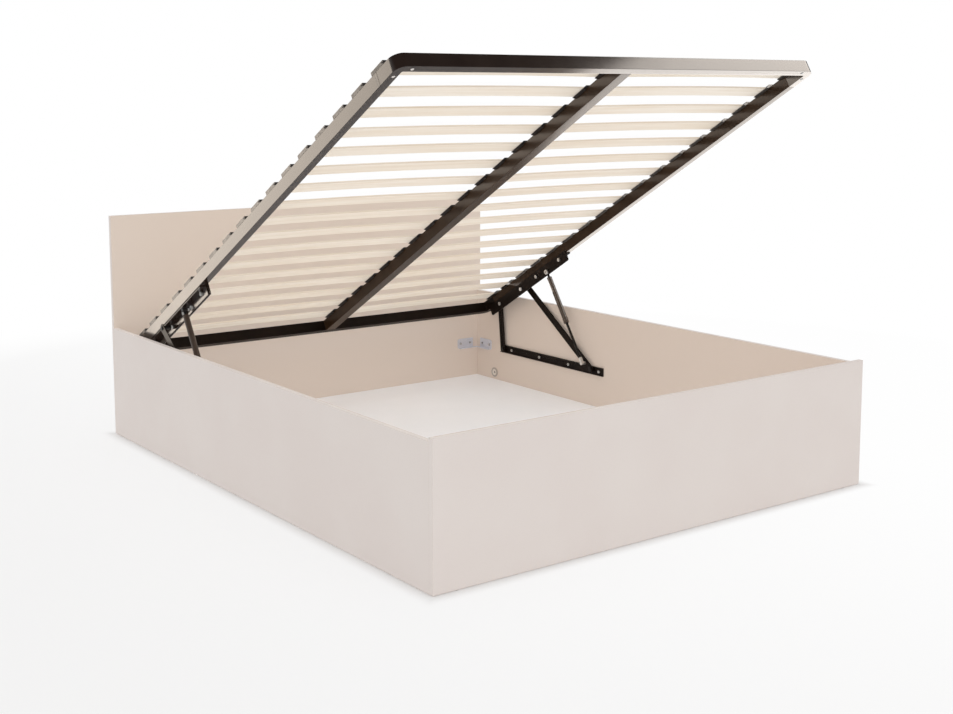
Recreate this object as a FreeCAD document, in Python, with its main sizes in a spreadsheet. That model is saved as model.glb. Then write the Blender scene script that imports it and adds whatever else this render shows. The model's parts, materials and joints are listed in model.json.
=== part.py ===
import FreeCAD, Part
import Sketcher
import math
import operator
import os
from types import SimpleNamespace

# Driving dimensions in millimetres, with angles in degrees, counts and shares
SIZES = {
    # Box of the bed
    "bed_width": 1652,
    "bed_length": 2036,
    "panel": 16,
    "glide_height": 2,
    "headboard_top": 800,
    "footboard_top": 402,
    "side_top": 392,
    # Storage floor and what it lies on
    "floor_sheet": 4,
    "floor_room": 0.5,
    "floor_seam_share": 0.3,
    "batten_height": 16,
    "batten_width": 60,
    "batten_count": 5,
    "panel_glide_radius": 7,
    "batten_glide_radius": 15,
    "glide_inset": 60,
    "glide_count": 4,
    # Joints between the panels
    "dowel_radius": 4,
    "dowel_in_board": 10,
    "dowel_in_side": 20,
    "dowel_low": 230,
    "dowel_high": 330,
    "connector_reach": 127,
    "connector_up": 51,
    "connector_rim_radius": 20,
    "connector_rim": 3,
    "connector_radius": 15,
    "connector_depth": 11,
    "connector_recess_radius": 7,
    "connector_recess": 4,
    "connector_bolt_radius": 3.5,
    "connector_bolt_in_board": 10,
    # Corner brackets
    "bracket_reach": 105,
    "bracket_inset": 25,
    "bracket_low": 144,
    "bracket_height": 42,
    "bracket_plate": 2.5,
    "bracket_strip": 14,
    "bracket_corner": 9,
    "bracket_screw_near": 40,
    "bracket_screw_far": 90,
    # Wood screws
    "screw_head_radius": 4.5,
    "screw_head": 2.5,
    "screw_radius": 2,
    "screw_in_wood": 12,
    # Rests on the footboard for the lowered base
    "rest_place": 330,
    "rest_width": 60,
    "rest_plate": 2.5,
    "rest_drop": 58,
    "rest_reach": 38,
    "rest_top": 298,
    "rest_screw_drop": 40,
    "rest_screw_spread": 15,
    # Lower bars of the lift mechanism
    "lower_start": 174,
    "lower_run": 647,
    "lower_low": 148,
    "lower_height": 32,
    "lower_depth": 8,
    "lower_web": 3,
    "lower_lip": 2.5,
    "lower_screw_count": 4,
    "lower_screw_inset": 76,
    "lower_screw_far_inset": 23.5,
    "lower_screw_head_radius": 5.5,
    "lower_screw_head": 3.5,
    # Pivots on the lower bars
    "rear_pivot_back": 198.4,
    "rear_pivot_up": 163.3,
    "front_pivot_back": 756.4,
    "front_pivot_up": 168.5,
    "pin_radius": 4,
    "pin_head_radius": 8.5,
    "pin_head": 4,
    "pin_sleeve_radius": 7,
    # Links
    "link_gap": 1,
    "link_plate": 4,
    "rear_link_width": 30,
    "front_link_width": 28,
    "link_corner_share": 0.48,
    "link_pin_head_radius": 7,
    "link_pin_head": 3,
    # Raised base
    "open_tilt": 30.2,
    "open_head_gap": 109.45,
    "open_head_height": 306.8,
    "base_gap": 20,
    "base_end_room": 18,
    "rail_height": 40,
    "rail_wall": 1.5,
    "rail_width": 27,
    "rail_corner": 32,
    "rail_end_leg": 100,
    "rail_hole_radius": 3.5,
    "rail_hole_far": 50,
    "plug_head_radius": 5,
    "plug_head": 1.2,
    "plug_tail": 4,
    "centre_bar_width": 40,
    "centre_bar_wall": 2,
    # Slats and their holders
    "slat_count": 17,
    "slat_width": 50,
    "slat_thickness": 6,
    "slat_rise": 4,
    "slat_first": 91,
    "slat_rail_inset": 5,
    "slat_middle": 6,
    "holder_reach": 40,
    "holder_grip": 4,
    "holder_top": 51,
    "holder_slant": 18,
    "holder_lip": 1.5,
    "holder_wall": 3,
    "holder_lug": 8,
    "holder_pocket_floor": 41.2,
    "holder_pocket_roof": 48.5,
    "holder_pocket_room": 0.2,
    "holder_pocket_end": 1,
    "centre_holder_reach": 33,
    "peg_radius": 2.5,
    "peg_length": 12,
    "peg_proud": 0.5,
    "peg_up": 45.5,
    # Bars and angles under the side rails
    "mount_plate": 4,
    "mount_drop": 32,
    "mount_overlap": 2,
    "mount_side_room": 3,
    "mount_start": 616,
    "mount_end": 60,
    "upper_start": 624,
    "upper_plate": 4,
    "upper_low": 34,
    "upper_high": 8,
    "upper_corner": 6,
    "bolt_drop": 11,
    "bolt_first": 575,
    "bolt_second": 412,
    "bolt_last": 135,
    "bolt_radius": 4,
    "bolt_head_radius": 7,
    "bolt_head": 5,
    "wide_bolt_place": 481,
    "wide_bolt_drop": 21,
    "wide_bolt_head_radius": 10,
    "nut_radius": 7.5,
    "nut_height": 6,
    # Pins under the base and the windows that their ends travel in
    "rear_pin_back": 74.8,
    "front_pin_back": 292.5,
    "link_pin_drop": 14,
    "gas_pin_back": 453.9,
    "gas_pin_drop": 16,
    "pin_tip_gap": 0.3,
    "rear_window_footward": 17,
    "rear_window_headward": 5,
    "rear_window_below": 5,
    "rear_window_above": 9.2,
    "gas_window_footward": 5,
    "gas_window_headward": 28,
    "gas_window_below": 9.4,
    "gas_window_above": 6.6,
    # Gas springs
    "gas_inset": 28,
    "gas_stud_place": 36,
    "gas_eye_radius": 7,
    "gas_eye_width": 10,
    "gas_stud_sleeve_radius": 6.5,
    "gas_stud_head": 3,
    "gas_neck_radius": 4.5,
    "gas_neck": 22,
    "gas_socket_radius": 7,
    "gas_socket": 24,
    "gas_rod_radius": 5,
    "gas_rod_start": 12,
    "gas_tube_radius": 10,
    "gas_bore_radius": 8.5,
    "gas_tube_length": 200,
    "gas_tube_cap": 6,
    "gas_gland": 8,
    "gas_piston": 10,
    "gas_piston_room": 3,
    # Fits and cutting
    "running_fit": 0.05,
    "piston_fit": 0.1,
    "overrun": 1,
}

QUARTER_TURN = 90
FULL_TURN = 360
SIDES = {"left": -1, "right": 1}

document = FreeCAD.newDocument("storage_bed")
sheet = document.addObject("Spreadsheet::Sheet", "sizes")
for line, (alias, amount) in enumerate(SIZES.items(), start=1):
    sheet.set(f"A{line}", alias)
    sheet.set(f"B{line}", str(amount))
    sheet.setAlias(f"B{line}", alias)
document.recompute()


class Size:
    """A dimension that keeps its sheet expression beside its present value."""

    def __init__(self, text, value):
        self.text = text
        self.value = value

    def __add__(self, other):
        return joined(self, "+", operator.add, other)

    def __radd__(self, other):
        return joined(other, "+", operator.add, self)

    def __sub__(self, other):
        return joined(self, "-", operator.sub, other)

    def __rsub__(self, other):
        return joined(other, "-", operator.sub, self)

    def __mul__(self, other):
        return joined(self, "*", operator.mul, other)

    def __rmul__(self, other):
        return joined(other, "*", operator.mul, self)

    def __truediv__(self, other):
        return joined(self, "/", operator.truediv, other)

    def __neg__(self):
        return Size(f"(-{self.text})", -self.value)


def as_size(amount):
    """Turn a plain number into a Size."""
    return amount if isinstance(amount, Size) else Size(f"({amount})", amount)


def joined(left, sign, action, right):
    """Join two amounts into one expression and one value."""
    left, right = as_size(left), as_size(right)
    return Size(f"({left.text} {sign} {right.text})", action(left.value, right.value))


def cosine(angle):
    return Size(f"cos({angle.text})", math.cos(math.radians(angle.value)))


def sine(angle):
    return Size(f"sin({angle.text})", math.sin(math.radians(angle.value)))


def distance(start, end):
    """Distance between two points of a side view."""
    along, up = end[0] - start[0], end[1] - start[1]
    return Size(f"hypot({along.text}; {up.text})", math.hypot(along.value, up.value))


def heading(start, end):
    """Angle from level of the line between two points of a side view."""
    return math.degrees(math.atan2((end[1] - start[1]).value, (end[0] - start[0]).value))


d = SimpleNamespace(**{alias: Size(f"sizes.{alias}", sheet.get(alias)) for alias in SIZES})
nodes = []


# Building blocks

def bind(piece, name, amount):
    """Drive one property of a piece from the sheet."""
    piece.setExpression(name, as_size(amount).text)


def span(side, near, far):
    """A stretch of X from near to far, on the right for 1 and on the left for -1."""
    return (as_size(near), as_size(far)) if side > 0 else (-as_size(far), -as_size(near))


def box(name, x, y, z):
    """A block between the low and high ends given for each axis."""
    solid = document.addObject("Part::Box", name)
    for length, axis, (low, high) in zip(("Length", "Width", "Height"), "xyz", (x, y, z)):
        bind(solid, length, high - low)
        bind(solid, "Placement.Base." + axis, low)
    return solid


def rod(name, axis, places, radius):
    """A cylinder along one axis, whose place on that axis is its low and high end."""
    solid = document.addObject("Part::Cylinder", name)
    turns = {
        "x": FreeCAD.Rotation(FreeCAD.Vector(0, 1, 0), QUARTER_TURN),
        "y": FreeCAD.Rotation(FreeCAD.Vector(1, 0, 0), -QUARTER_TURN),
        "z": FreeCAD.Rotation(),
    }
    solid.Placement = FreeCAD.Placement(FreeCAD.Vector(), turns[axis])
    for letter, place in zip("xyz", places):
        if letter == axis:
            bind(solid, "Height", place[1] - place[0])
            place = place[0]
        bind(solid, "Placement.Base." + letter, place)
    bind(solid, "Radius", radius)
    return solid


def fuse(name, pieces):
    """Several touching pieces as one solid."""
    whole = document.addObject("Part::MultiFuse", name)
    whole.Shapes = pieces
    whole.Refine = True
    return whole


def cut(name, base, tools):
    """A piece with every tool taken out of it."""
    result = document.addObject("Part::Cut", name)
    result.Base = base
    result.Tool = tools[0] if len(tools) == 1 else fuse(name + "_tools", tools)
    return result


def group(name, pieces):
    """Separate solids kept together."""
    whole = document.addObject("Part::Compound", name)
    whole.Links = pieces
    return whole


def origin_part(piece, role):
    return next(part for part in piece.Origin.OriginFeatures if part.Role == role)


def sketch(piece, plane, offset, outline, circles=()):
    """Sketch a closed outline of corners and any round holes, all bound to the sheet."""
    drawing = piece.newObject("Sketcher::SketchObject", piece.Name + "_sketch")
    drawing.AttachmentSupport = [(origin_part(piece, plane), "")]
    drawing.MapMode = "FlatFace"
    bind(drawing, "AttachmentOffset.Base.z", offset)
    corners = [tuple(as_size(amount) for amount in corner) for corner in outline]
    points = [FreeCAD.Vector(across.value, up.value, 0) for across, up in corners]
    count = len(points)
    for index in range(count):
        drawing.addGeometry(Part.LineSegment(points[index], points[(index + 1) % count]), False)
    for index in range(count):
        drawing.addConstraint(Sketcher.Constraint("Coincident", index, 2, (index + 1) % count, 1))
    for index, corner in enumerate(corners):
        pin_point(drawing, index, 1, corner)
    for across, up, radius in circles:
        middle = FreeCAD.Vector(as_size(across).value, as_size(up).value, 0)
        ring = drawing.addGeometry(Part.Circle(middle, FreeCAD.Vector(0, 0, 1), radius.value), False)
        pin_point(drawing, ring, 3, (across, up))
        rule(drawing, Sketcher.Constraint("Radius", ring, radius.value), radius)
    return drawing


def rule(drawing, constraint, amount):
    """Add a sketch dimension driven from the sheet."""
    number = drawing.addConstraint(constraint)
    bind(drawing, f"Constraints[{number}]", amount)


def pin_point(drawing, shape, end, place):
    """Hold a point of a sketch at a place driven from the sheet."""
    for name, amount in zip(("DistanceX", "DistanceY"), place):
        amount = as_size(amount)
        rule(drawing, Sketcher.Constraint(name, shape, end, amount.value), amount)


def solid_of(name):
    return document.addObject("PartDesign::Body", name)


def pad(piece, plane, reach, outline, circles=()):
    """Thicken an outline between the two ends of its reach along the plane's axis."""
    low, high = reach
    offset = -high if plane == "XZ_Plane" else low
    feature = piece.newObject("PartDesign::Pad", piece.Name + "_pad")
    feature.Profile = sketch(piece, plane, offset, outline, circles)
    bind(feature, "Length", high - low)
    return feature


def pocket(piece, plane, reach, outline):
    """Take an outline out of a piece between the two ends of its reach."""
    low, high = reach
    offset = -low if plane == "XZ_Plane" else high
    feature = piece.newObject("PartDesign::Pocket", piece.Name + "_pocket")
    feature.Profile = sketch(piece, plane, offset, outline)
    bind(feature, "Length", high - low)
    return feature


def bore(piece, reach, centre, radius):
    """Take a round hole along X out of a piece."""
    feature = piece.newObject("PartDesign::Pocket", piece.Name + "_bore")
    drawing = sketch(piece, "YZ_Plane", reach[1], [], [(centre[0], centre[1], radius)])
    feature.Profile = drawing
    bind(feature, "Length", reach[1] - reach[0])
    return feature


def row(piece, originals, pitch, count):
    """Repeat features along Y at one pitch."""
    document.recompute()
    pattern = piece.newObject("PartDesign::LinearPattern", piece.Name + "_row")
    pattern.Originals = originals
    pattern.Direction = (origin_part(piece, "Y_Axis"), [""])
    pattern.Mode = "Spacing"
    bind(pattern, "Offset", pitch)
    bind(pattern, "Occurrences", count)
    piece.Tip = pattern


def ease(piece, feature, axis, radius):
    """Round the edges of a feature that run along one axis."""
    document.recompute()
    names = []
    for number, edge in enumerate(feature.Shape.Edges, start=1):
        straight = isinstance(edge.Curve, Part.Line)
        if straight and abs(edge.Curve.Direction.dot(axis)) > math.cos(math.radians(1)):
            names.append(f"Edge{number}")
    rounding = piece.newObject("PartDesign::Fillet", piece.Name + "_rounding")
    rounding.Base = (feature, names)
    bind(rounding, "Radius", radius)
    piece.Tip = rounding


def rounded_block(name, x, y, z, corner):
    """A block with its four upright edges rounded."""
    piece = solid_of(name)
    outline = [(x[0], y[0]), (x[1], y[0]), (x[1], y[1]), (x[0], y[1])]
    ease(piece, pad(piece, "XY_Plane", z, outline), FreeCAD.Vector(0, 0, 1), corner)
    return piece


def turned(name, axis, profile):
    """Turn a half profile, given as corners of place and radius, about X or Y."""
    piece = solid_of(name)
    if axis == "x":
        outline, reference = profile, "H_Axis"
    else:
        outline, reference = [(radius, place) for place, radius in profile], "V_Axis"
    drawing = sketch(piece, "XY_Plane", 0, outline)
    feature = piece.newObject("PartDesign::Revolution", piece.Name + "_turned")
    feature.Profile = drawing
    feature.ReferenceAxis = (drawing, [reference])
    feature.Angle = FULL_TURN
    return piece


def stepped(name, side, steps):
    """A turned pin along X from steps of start, end and radius, going outwards."""
    profile = [(side * steps[0][0], 0)]
    for start, end, radius in steps:
        profile += [(side * start, radius), (side * end, radius)]
    profile.append((side * steps[-1][1], 0))
    return turned(name, "x", profile)


def at(along, up, turn=0):
    """A pose in the side view: a place and a turn about X."""
    spin = FreeCAD.Rotation(FreeCAD.Vector(1, 0, 0), turn)
    return FreeCAD.Placement(FreeCAD.Vector(0, as_size(along).value, as_size(up).value), spin)


def keep(label, piece, pose=None):
    """Give a finished piece its name and its place."""
    piece.Label = label
    if pose is not None:
        piece.Placement = pose
    nodes.append(piece)


# Places that several pieces share
inner_x = d.bed_width / 2 - d.panel
inner_y = d.bed_length / 2 - d.panel
outer_x = d.bed_width / 2
outer_y = d.bed_length / 2
panel_middle = inner_x + d.panel / 2
floor_low = d.glide_height + d.batten_height
floor_top = floor_low + d.floor_sheet
bracket_screw_up = d.bracket_low + d.bracket_height / 2

lower_y = (inner_y - d.lower_start - d.lower_run, inner_y - d.lower_start)
lower_middle = d.lower_low + d.lower_height / 2
lower_face = inner_x - d.lower_depth
rear_pivot = (inner_y - d.rear_pivot_back, d.rear_pivot_up)
front_pivot = (inner_y - d.front_pivot_back, d.front_pivot_up)
link_out = lower_face - d.link_gap
link_in = link_out - d.link_plate
link_head_out = link_out + d.link_pin_head

# The base is drawn level, from its foot end at Y zero and the underside of its rails at Z zero
base_length = 2 * inner_y - d.base_end_room
base_x = inner_x - d.base_gap
rail_face = base_x - d.rail_width
mount_out = rail_face + d.mount_overlap
mount_in = mount_out - d.mount_plate
upper_in = mount_in - d.upper_plate
mount_y = (base_length - d.mount_start, base_length - d.mount_end)
rear_pin = (base_length - d.rear_pin_back, -d.link_pin_drop)
front_pin = (base_length - d.front_pin_back, -d.link_pin_drop)
gas_pin = (base_length - d.gas_pin_back, -d.gas_pin_drop)
bolt_places = [(base_length - back, -d.bolt_drop) for back in (d.bolt_first, d.bolt_second, d.bolt_last)]
bolt_places.append((base_length - d.wide_bolt_place, -d.wide_bolt_drop))
slat_pitch = (base_length - 2 * d.slat_first) / (d.slat_count - 1)
slat_half = d.slat_width / 2

# The raised base hangs from its head end, tilted up towards the foot
head_edge = (inner_y - d.open_head_gap, d.open_head_height)
foot_edge = (
    head_edge[0] - base_length * cosine(d.open_tilt),
    head_edge[1] + base_length * sine(d.open_tilt),
)
base_pose = at(foot_edge[0], foot_edge[1], -d.open_tilt.value)


def raised(place):
    """Where a point of the level base lies once the base is up."""
    along, up = place
    return (
        foot_edge[0] + along * cosine(d.open_tilt) + up * sine(d.open_tilt),
        foot_edge[1] - along * sine(d.open_tilt) + up * cosine(d.open_tilt),
    )


# Links and gas springs are drawn along Y from their lower pivot
rear_length = distance(rear_pivot, raised(rear_pin))
front_length = distance(front_pivot, raised(front_pin))
rear_pose = at(rear_pivot[0], rear_pivot[1], heading(rear_pivot, raised(rear_pin)))
front_pose = at(front_pivot[0], front_pivot[1], heading(front_pivot, raised(front_pin)))
stud_share = d.gas_stud_place / front_length
gas_foot = tuple(low + (high - low) * stud_share for low, high in zip(front_pivot, raised(front_pin)))
gas_length = distance(gas_foot, raised(gas_pin))
gas_pose = at(gas_foot[0], gas_foot[1], heading(gas_foot, raised(gas_pin)))
gas_x = inner_x - d.gas_inset
gas_eye_in = gas_x - d.gas_eye_width / 2
gas_eye_out = gas_x + d.gas_eye_width / 2
tube_top = gas_length - d.gas_neck
tube_low = tube_top - d.gas_tube_length


# Holes that fasteners leave in the panels

def dowel_rods(name, side, end, room):
    """The two dowels of one corner, with room added to their radius."""
    pieces = []
    for height in (d.dowel_low, d.dowel_high):
        reach = span(end, inner_y - d.dowel_in_side, inner_y + d.dowel_in_board)
        pieces.append(rod(name, "y", (side * panel_middle, reach, height), d.dowel_radius + room))
    return pieces


def connector_bolt(name, side, end, room):
    """The long bolt of one corner, from its connector into the end board."""
    start = inner_y - d.connector_reach + d.connector_radius
    reach = span(end, start, inner_y + d.connector_bolt_in_board)
    places = (side * panel_middle, reach, d.connector_up)
    return rod(name, "y", places, d.connector_bolt_radius + room)


def connector_seat(name, side, end):
    """The round hole of one connector in the inner face of a side panel."""
    reach = span(side, inner_x - d.overrun, inner_x + d.connector_depth)
    places = (reach, end * (inner_y - d.connector_reach), d.connector_up)
    return rod(name, "x", places, d.connector_radius + d.running_fit)


def side_screw_hole(name, side, along, up):
    """The hole of a screw that enters a side panel from inside."""
    reach = span(side, inner_x - d.overrun, inner_x + d.screw_in_wood)
    return rod(name, "x", (reach, along, up), d.screw_radius + d.running_fit)


def board_screw_hole(name, end, across, up):
    """The hole of a screw that enters the headboard or footboard from inside."""
    reach = span(end, inner_y - d.overrun, inner_y + d.screw_in_wood)
    return rod(name, "y", (across, reach, up), d.screw_radius + d.running_fit)


def lower_screw_places():
    """Places along Y of the screws that hold a lower bar."""
    last = SIZES["lower_screw_count"] - 1
    rear, front = lower_y[1] - d.lower_screw_inset, lower_y[0] + d.lower_screw_far_inset
    return [rear + (front - rear) * number / last for number in range(last + 1)]


def rest_screw_places():
    """Places along X of the screws that hold the footboard rests."""
    middles = [side * d.rest_place for side in SIDES.values()]
    return [middle + side * d.rest_screw_spread for middle in middles for side in SIDES.values()]


# Box

def end_board(label, end, top):
    """Headboard or footboard, laid over the ends of the side panels."""
    blank = box(label + "_blank", (-outer_x, outer_x), span(end, inner_y, outer_y), (d.glide_height, top))
    holes = []
    for side in SIDES.values():
        holes += dowel_rods(label + "_dowel_hole", side, end, d.running_fit)
        holes.append(connector_bolt(label + "_bolt_hole", side, end, d.running_fit))
        for reach in (d.bracket_screw_near, d.bracket_screw_far):
            across = side * (inner_x - reach)
            holes.append(board_screw_hole(label + "_screw_hole", end, across, bracket_screw_up))
    if end < 0:
        up = d.rest_top - d.rest_screw_drop
        for across in rest_screw_places():
            holes.append(board_screw_hole(label + "_rest_hole", end, across, up))
    keep(label, cut(label, blank, holes))


def side_panel(label, side):
    """Long side of the box, between the headboard and the footboard."""
    blank = box(
        label + "_blank",
        span(side, inner_x, outer_x),
        (-inner_y, inner_y),
        (d.glide_height, d.side_top),
    )
    holes = []
    for end in (-1, 1):
        holes += dowel_rods(label + "_dowel_hole", side, end, d.running_fit)
        holes.append(connector_bolt(label + "_bolt_hole", side, end, d.running_fit))
        holes.append(connector_seat(label + "_seat", side, end))
        for reach in (d.bracket_screw_near, d.bracket_screw_far):
            along = end * (inner_y - reach)
            holes.append(side_screw_hole(label + "_screw_hole", side, along, bracket_screw_up))
    for along in lower_screw_places():
        holes.append(side_screw_hole(label + "_bar_hole", side, along, lower_middle))
    keep(label, cut(label, blank, holes))


def storage_floor():
    """Two loose sheets that meet across the box on a batten."""
    edge_x, edge_y = inner_x - d.floor_room, inner_y - d.floor_room
    seam = -edge_y + 2 * edge_y * d.floor_seam_share
    for label, y in (("storage_floor_front", (-edge_y, seam)), ("storage_floor_rear", (seam, edge_y))):
        keep(label, box(label, (-edge_x, edge_x), y, (floor_low, floor_top)))


def batten_places():
    """Places along Y of the battens under the floor, one of them under the seam."""
    edge = inner_y - d.floor_room - d.batten_width / 2
    count = SIZES["batten_count"]
    seam = (inner_y - d.floor_room) * (2 * d.floor_seam_share - 1)
    rear = [seam + (edge - seam) * number / (count - 2) for number in range(count - 1)]
    return [-edge] + rear


def floor_battens():
    """Chipboard strips across the box that carry the floor."""
    pieces = []
    edge_x = inner_x - d.floor_room
    for middle in batten_places():
        y = (middle - d.batten_width / 2, middle + d.batten_width / 2)
        pieces.append(box("floor_batten", (-edge_x, edge_x), y, (d.glide_height, floor_low)))
    keep("floor_battens", group("floor_battens", pieces))


def glides():
    """Plastic glides under the panels and the battens."""
    pieces = []
    height = (as_size(0), d.glide_height)
    last = SIZES["glide_count"] - 1
    shares = [2 * number / last - 1 for number in range(last + 1)]
    for side in SIDES.values():
        for share in shares:
            along = share * (inner_y - d.glide_inset)
            pieces.append(rod("side_glide", "z", (side * panel_middle, along, height), d.panel_glide_radius))
            across = share * (inner_x - d.glide_inset)
            end_middle = side * (inner_y + d.panel / 2)
            pieces.append(rod("end_glide", "z", (across, end_middle, height), d.panel_glide_radius))
    for middle in batten_places():
        for share in shares:
            across = share * (inner_x - 2 * d.glide_inset)
            pieces.append(rod("batten_glide", "z", (across, middle, height), d.batten_glide_radius))
    keep("glides", group("glides", pieces))


def dowels_and_bolts():
    """Wooden dowels and connector bolts in the four corners."""
    dowels, bolts = [], []
    for side in SIDES.values():
        for end in (-1, 1):
            dowels += dowel_rods("dowel", side, end, 0)
            bolts.append(connector_bolt("connector_bolt", side, end, 0))
    keep("panel_dowels", group("panel_dowels", dowels))
    keep("connector_bolts", group("connector_bolts", bolts))


def panel_connectors():
    """Round metal connectors in the side panels, with a recess for the key."""
    pieces = []
    for side in SIDES.values():
        for end in (-1, 1):
            centre = (end * (inner_y - d.connector_reach), d.connector_up)
            rim_face = inner_x - d.connector_rim
            rim = rod("connector_rim", "x", (span(side, rim_face, inner_x), *centre), d.connector_rim_radius)
            plug_reach = span(side, inner_x, inner_x + d.connector_depth)
            plug = rod("connector_plug", "x", (plug_reach, *centre), d.connector_radius)
            recess_reach = span(side, rim_face - d.overrun, rim_face + d.connector_recess)
            recess = rod("connector_recess", "x", (recess_reach, *centre), d.connector_recess_radius)
            pieces.append(cut("connector", fuse("connector_blank", [rim, plug]), [recess]))
    keep("panel_connectors", group("panel_connectors", pieces))


def bracket(side, end):
    """One angle bracket: two plates with rounded far ends on an angled strip."""
    height = (d.bracket_low, d.bracket_low + d.bracket_height)
    strip_height = (d.bracket_low, d.bracket_low + d.bracket_plate)
    plates = []
    x = span(side, inner_x - d.bracket_plate, inner_x)
    y = span(end, inner_y - d.bracket_reach, inner_y - d.bracket_inset)
    outline = [(y[0], height[0]), (y[1], height[0]), (y[1], height[1]), (y[0], height[1])]
    plate = solid_of("bracket_side_plate")
    feature = pad(plate, "YZ_Plane", x, outline)
    ease_far_top(plate, feature, end * FreeCAD.Vector(0, 1, 0))
    plates.append(plate)
    x = span(side, inner_x - d.bracket_reach, inner_x - d.bracket_inset)
    y = span(end, inner_y - d.bracket_plate, inner_y)
    outline = [(x[0], height[0]), (x[1], height[0]), (x[1], height[1]), (x[0], height[1])]
    plate = solid_of("bracket_end_plate")
    feature = pad(plate, "XZ_Plane", y, outline)
    ease_far_top(plate, feature, side * FreeCAD.Vector(1, 0, 0))
    plates.append(plate)
    x_long = span(side, inner_x - d.bracket_reach + d.bracket_corner, inner_x)
    x_short = span(side, inner_x - d.bracket_strip, inner_x)
    y_long = span(end, inner_y - d.bracket_reach + d.bracket_corner, inner_y)
    y_short = span(end, inner_y - d.bracket_strip, inner_y)
    plates.append(box("bracket_strip", x_long, y_short, strip_height))
    plates.append(box("bracket_strip", x_short, y_long, strip_height))
    holes = []
    radius = d.screw_radius + d.running_fit
    for reach in (d.bracket_screw_near, d.bracket_screw_far):
        through_x = span(side, inner_x - d.bracket_plate - d.overrun, inner_x + d.overrun)
        places = (through_x, end * (inner_y - reach), bracket_screw_up)
        holes.append(rod("bracket_hole", "x", places, radius))
        through_y = span(end, inner_y - d.bracket_plate - d.overrun, inner_y + d.overrun)
        places = (side * (inner_x - reach), through_y, bracket_screw_up)
        holes.append(rod("bracket_hole", "y", places, radius))
    return cut("corner_bracket", fuse("bracket_blank", plates), holes)


def ease_far_top(piece, feature, outward):
    """Round the two corners of a bracket plate that lie away from the bed's corner."""
    document.recompute()
    far = min(vertex.Point.dot(outward) for vertex in feature.Shape.Vertexes)
    names = []
    for number, edge in enumerate(feature.Shape.Edges, start=1):
        reaches = [vertex.Point.dot(outward) - far for vertex in edge.Vertexes]
        upright = abs(edge.Length - d.bracket_plate.value) < d.running_fit.value
        if upright and max(reaches) < d.running_fit.value:
            names.append(f"Edge{number}")
    rounding = piece.newObject("PartDesign::Fillet", piece.Name + "_rounding")
    rounding.Base = (feature, names)
    bind(rounding, "Radius", d.bracket_corner)
    piece.Tip = rounding


def corner_brackets():
    pieces = [bracket(side, end) for side in SIDES.values() for end in (-1, 1)]
    keep("corner_brackets", group("corner_brackets", pieces))


def side_screw(side, plate, along, up, head_radius, head):
    """A screw through a plate into a side panel."""
    seat = inner_x - plate
    head_rod = rod("screw_head", "x", (span(side, seat - head, seat), along, up), head_radius)
    shank_reach = span(side, seat, inner_x + d.screw_in_wood)
    shank = rod("screw_shank", "x", (shank_reach, along, up), d.screw_radius)
    return fuse("side_screw", [head_rod, shank])


def board_screw(end, plate, across, up):
    """A screw through a plate into the headboard or footboard."""
    seat = inner_y - plate
    head_reach = span(end, seat - d.screw_head, seat)
    head_rod = rod("screw_head", "y", (across, head_reach, up), d.screw_head_radius)
    shank_reach = span(end, seat, inner_y + d.screw_in_wood)
    shank = rod("screw_shank", "y", (across, shank_reach, up), d.screw_radius)
    return fuse("board_screw", [head_rod, shank])


def corner_bracket_screws():
    pieces = []
    for side in SIDES.values():
        for end in (-1, 1):
            for reach in (d.bracket_screw_near, d.bracket_screw_far):
                along = end * (inner_y - reach)
                head = (d.screw_head_radius, d.screw_head)
                pieces.append(side_screw(side, d.bracket_plate, along, bracket_screw_up, *head))
                across = side * (inner_x - reach)
                pieces.append(board_screw(end, d.bracket_plate, across, bracket_screw_up))
    keep("corner_bracket_screws", group("corner_bracket_screws", pieces))


def foot_rests():
    """Two angles on the footboard that the lowered base comes to lie on."""
    pieces = []
    up = d.rest_top - d.rest_screw_drop
    for side in SIDES.values():
        middle = side * d.rest_place
        x = (middle - d.rest_width / 2, middle + d.rest_width / 2)
        upright = box(
            "rest_upright",
            x,
            (-inner_y, -inner_y + d.rest_plate),
            (d.rest_top - d.rest_drop, d.rest_top),
        )
        shelf = box(
            "rest_shelf",
            x,
            (-inner_y, -inner_y + d.rest_reach),
            (d.rest_top - d.rest_plate, d.rest_top),
        )
        holes = []
        for spread in SIDES.values():
            through = (-inner_y - d.overrun, -inner_y + d.rest_plate + d.overrun)
            places = (middle + spread * d.rest_screw_spread, through, up)
            holes.append(rod("rest_hole", "y", places, d.screw_radius + d.running_fit))
        pieces.append(cut("foot_rest", fuse("rest_blank", [upright, shelf]), holes))
    keep("foot_rests", group("foot_rests", pieces))
    screws = [board_screw(-1, d.rest_plate, across, up) for across in rest_screw_places()]
    keep("foot_rest_screws", group("foot_rest_screws", screws))


# Lift mechanism on the box

def lower_bar(label, side):
    """Shallow channel on the side panel that carries both lower pivots."""
    low, high = d.lower_low, d.lower_low + d.lower_height
    web = inner_x - d.lower_web
    outline = [
        (side * lower_face, low),
        (side * inner_x, low),
        (side * inner_x, high),
        (side * lower_face, high),
        (side * lower_face, high - d.lower_lip),
        (side * web, high - d.lower_lip),
        (side * web, low + d.lower_lip),
        (side * lower_face, low + d.lower_lip),
    ]
    channel = solid_of(label + "_channel")
    pad(channel, "XZ_Plane", lower_y, outline)
    through = span(side, web - d.overrun, inner_x + d.overrun)
    holes = []
    for along in lower_screw_places():
        places = (through, along, lower_middle)
        holes.append(rod(label + "_screw_hole", "x", places, d.screw_radius + d.running_fit))
    for along, up in (rear_pivot, front_pivot):
        holes.append(rod(label + "_pin_hole", "x", (through, along, up), d.pin_radius + d.running_fit))
    keep(label, cut(label, channel, holes))


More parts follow.
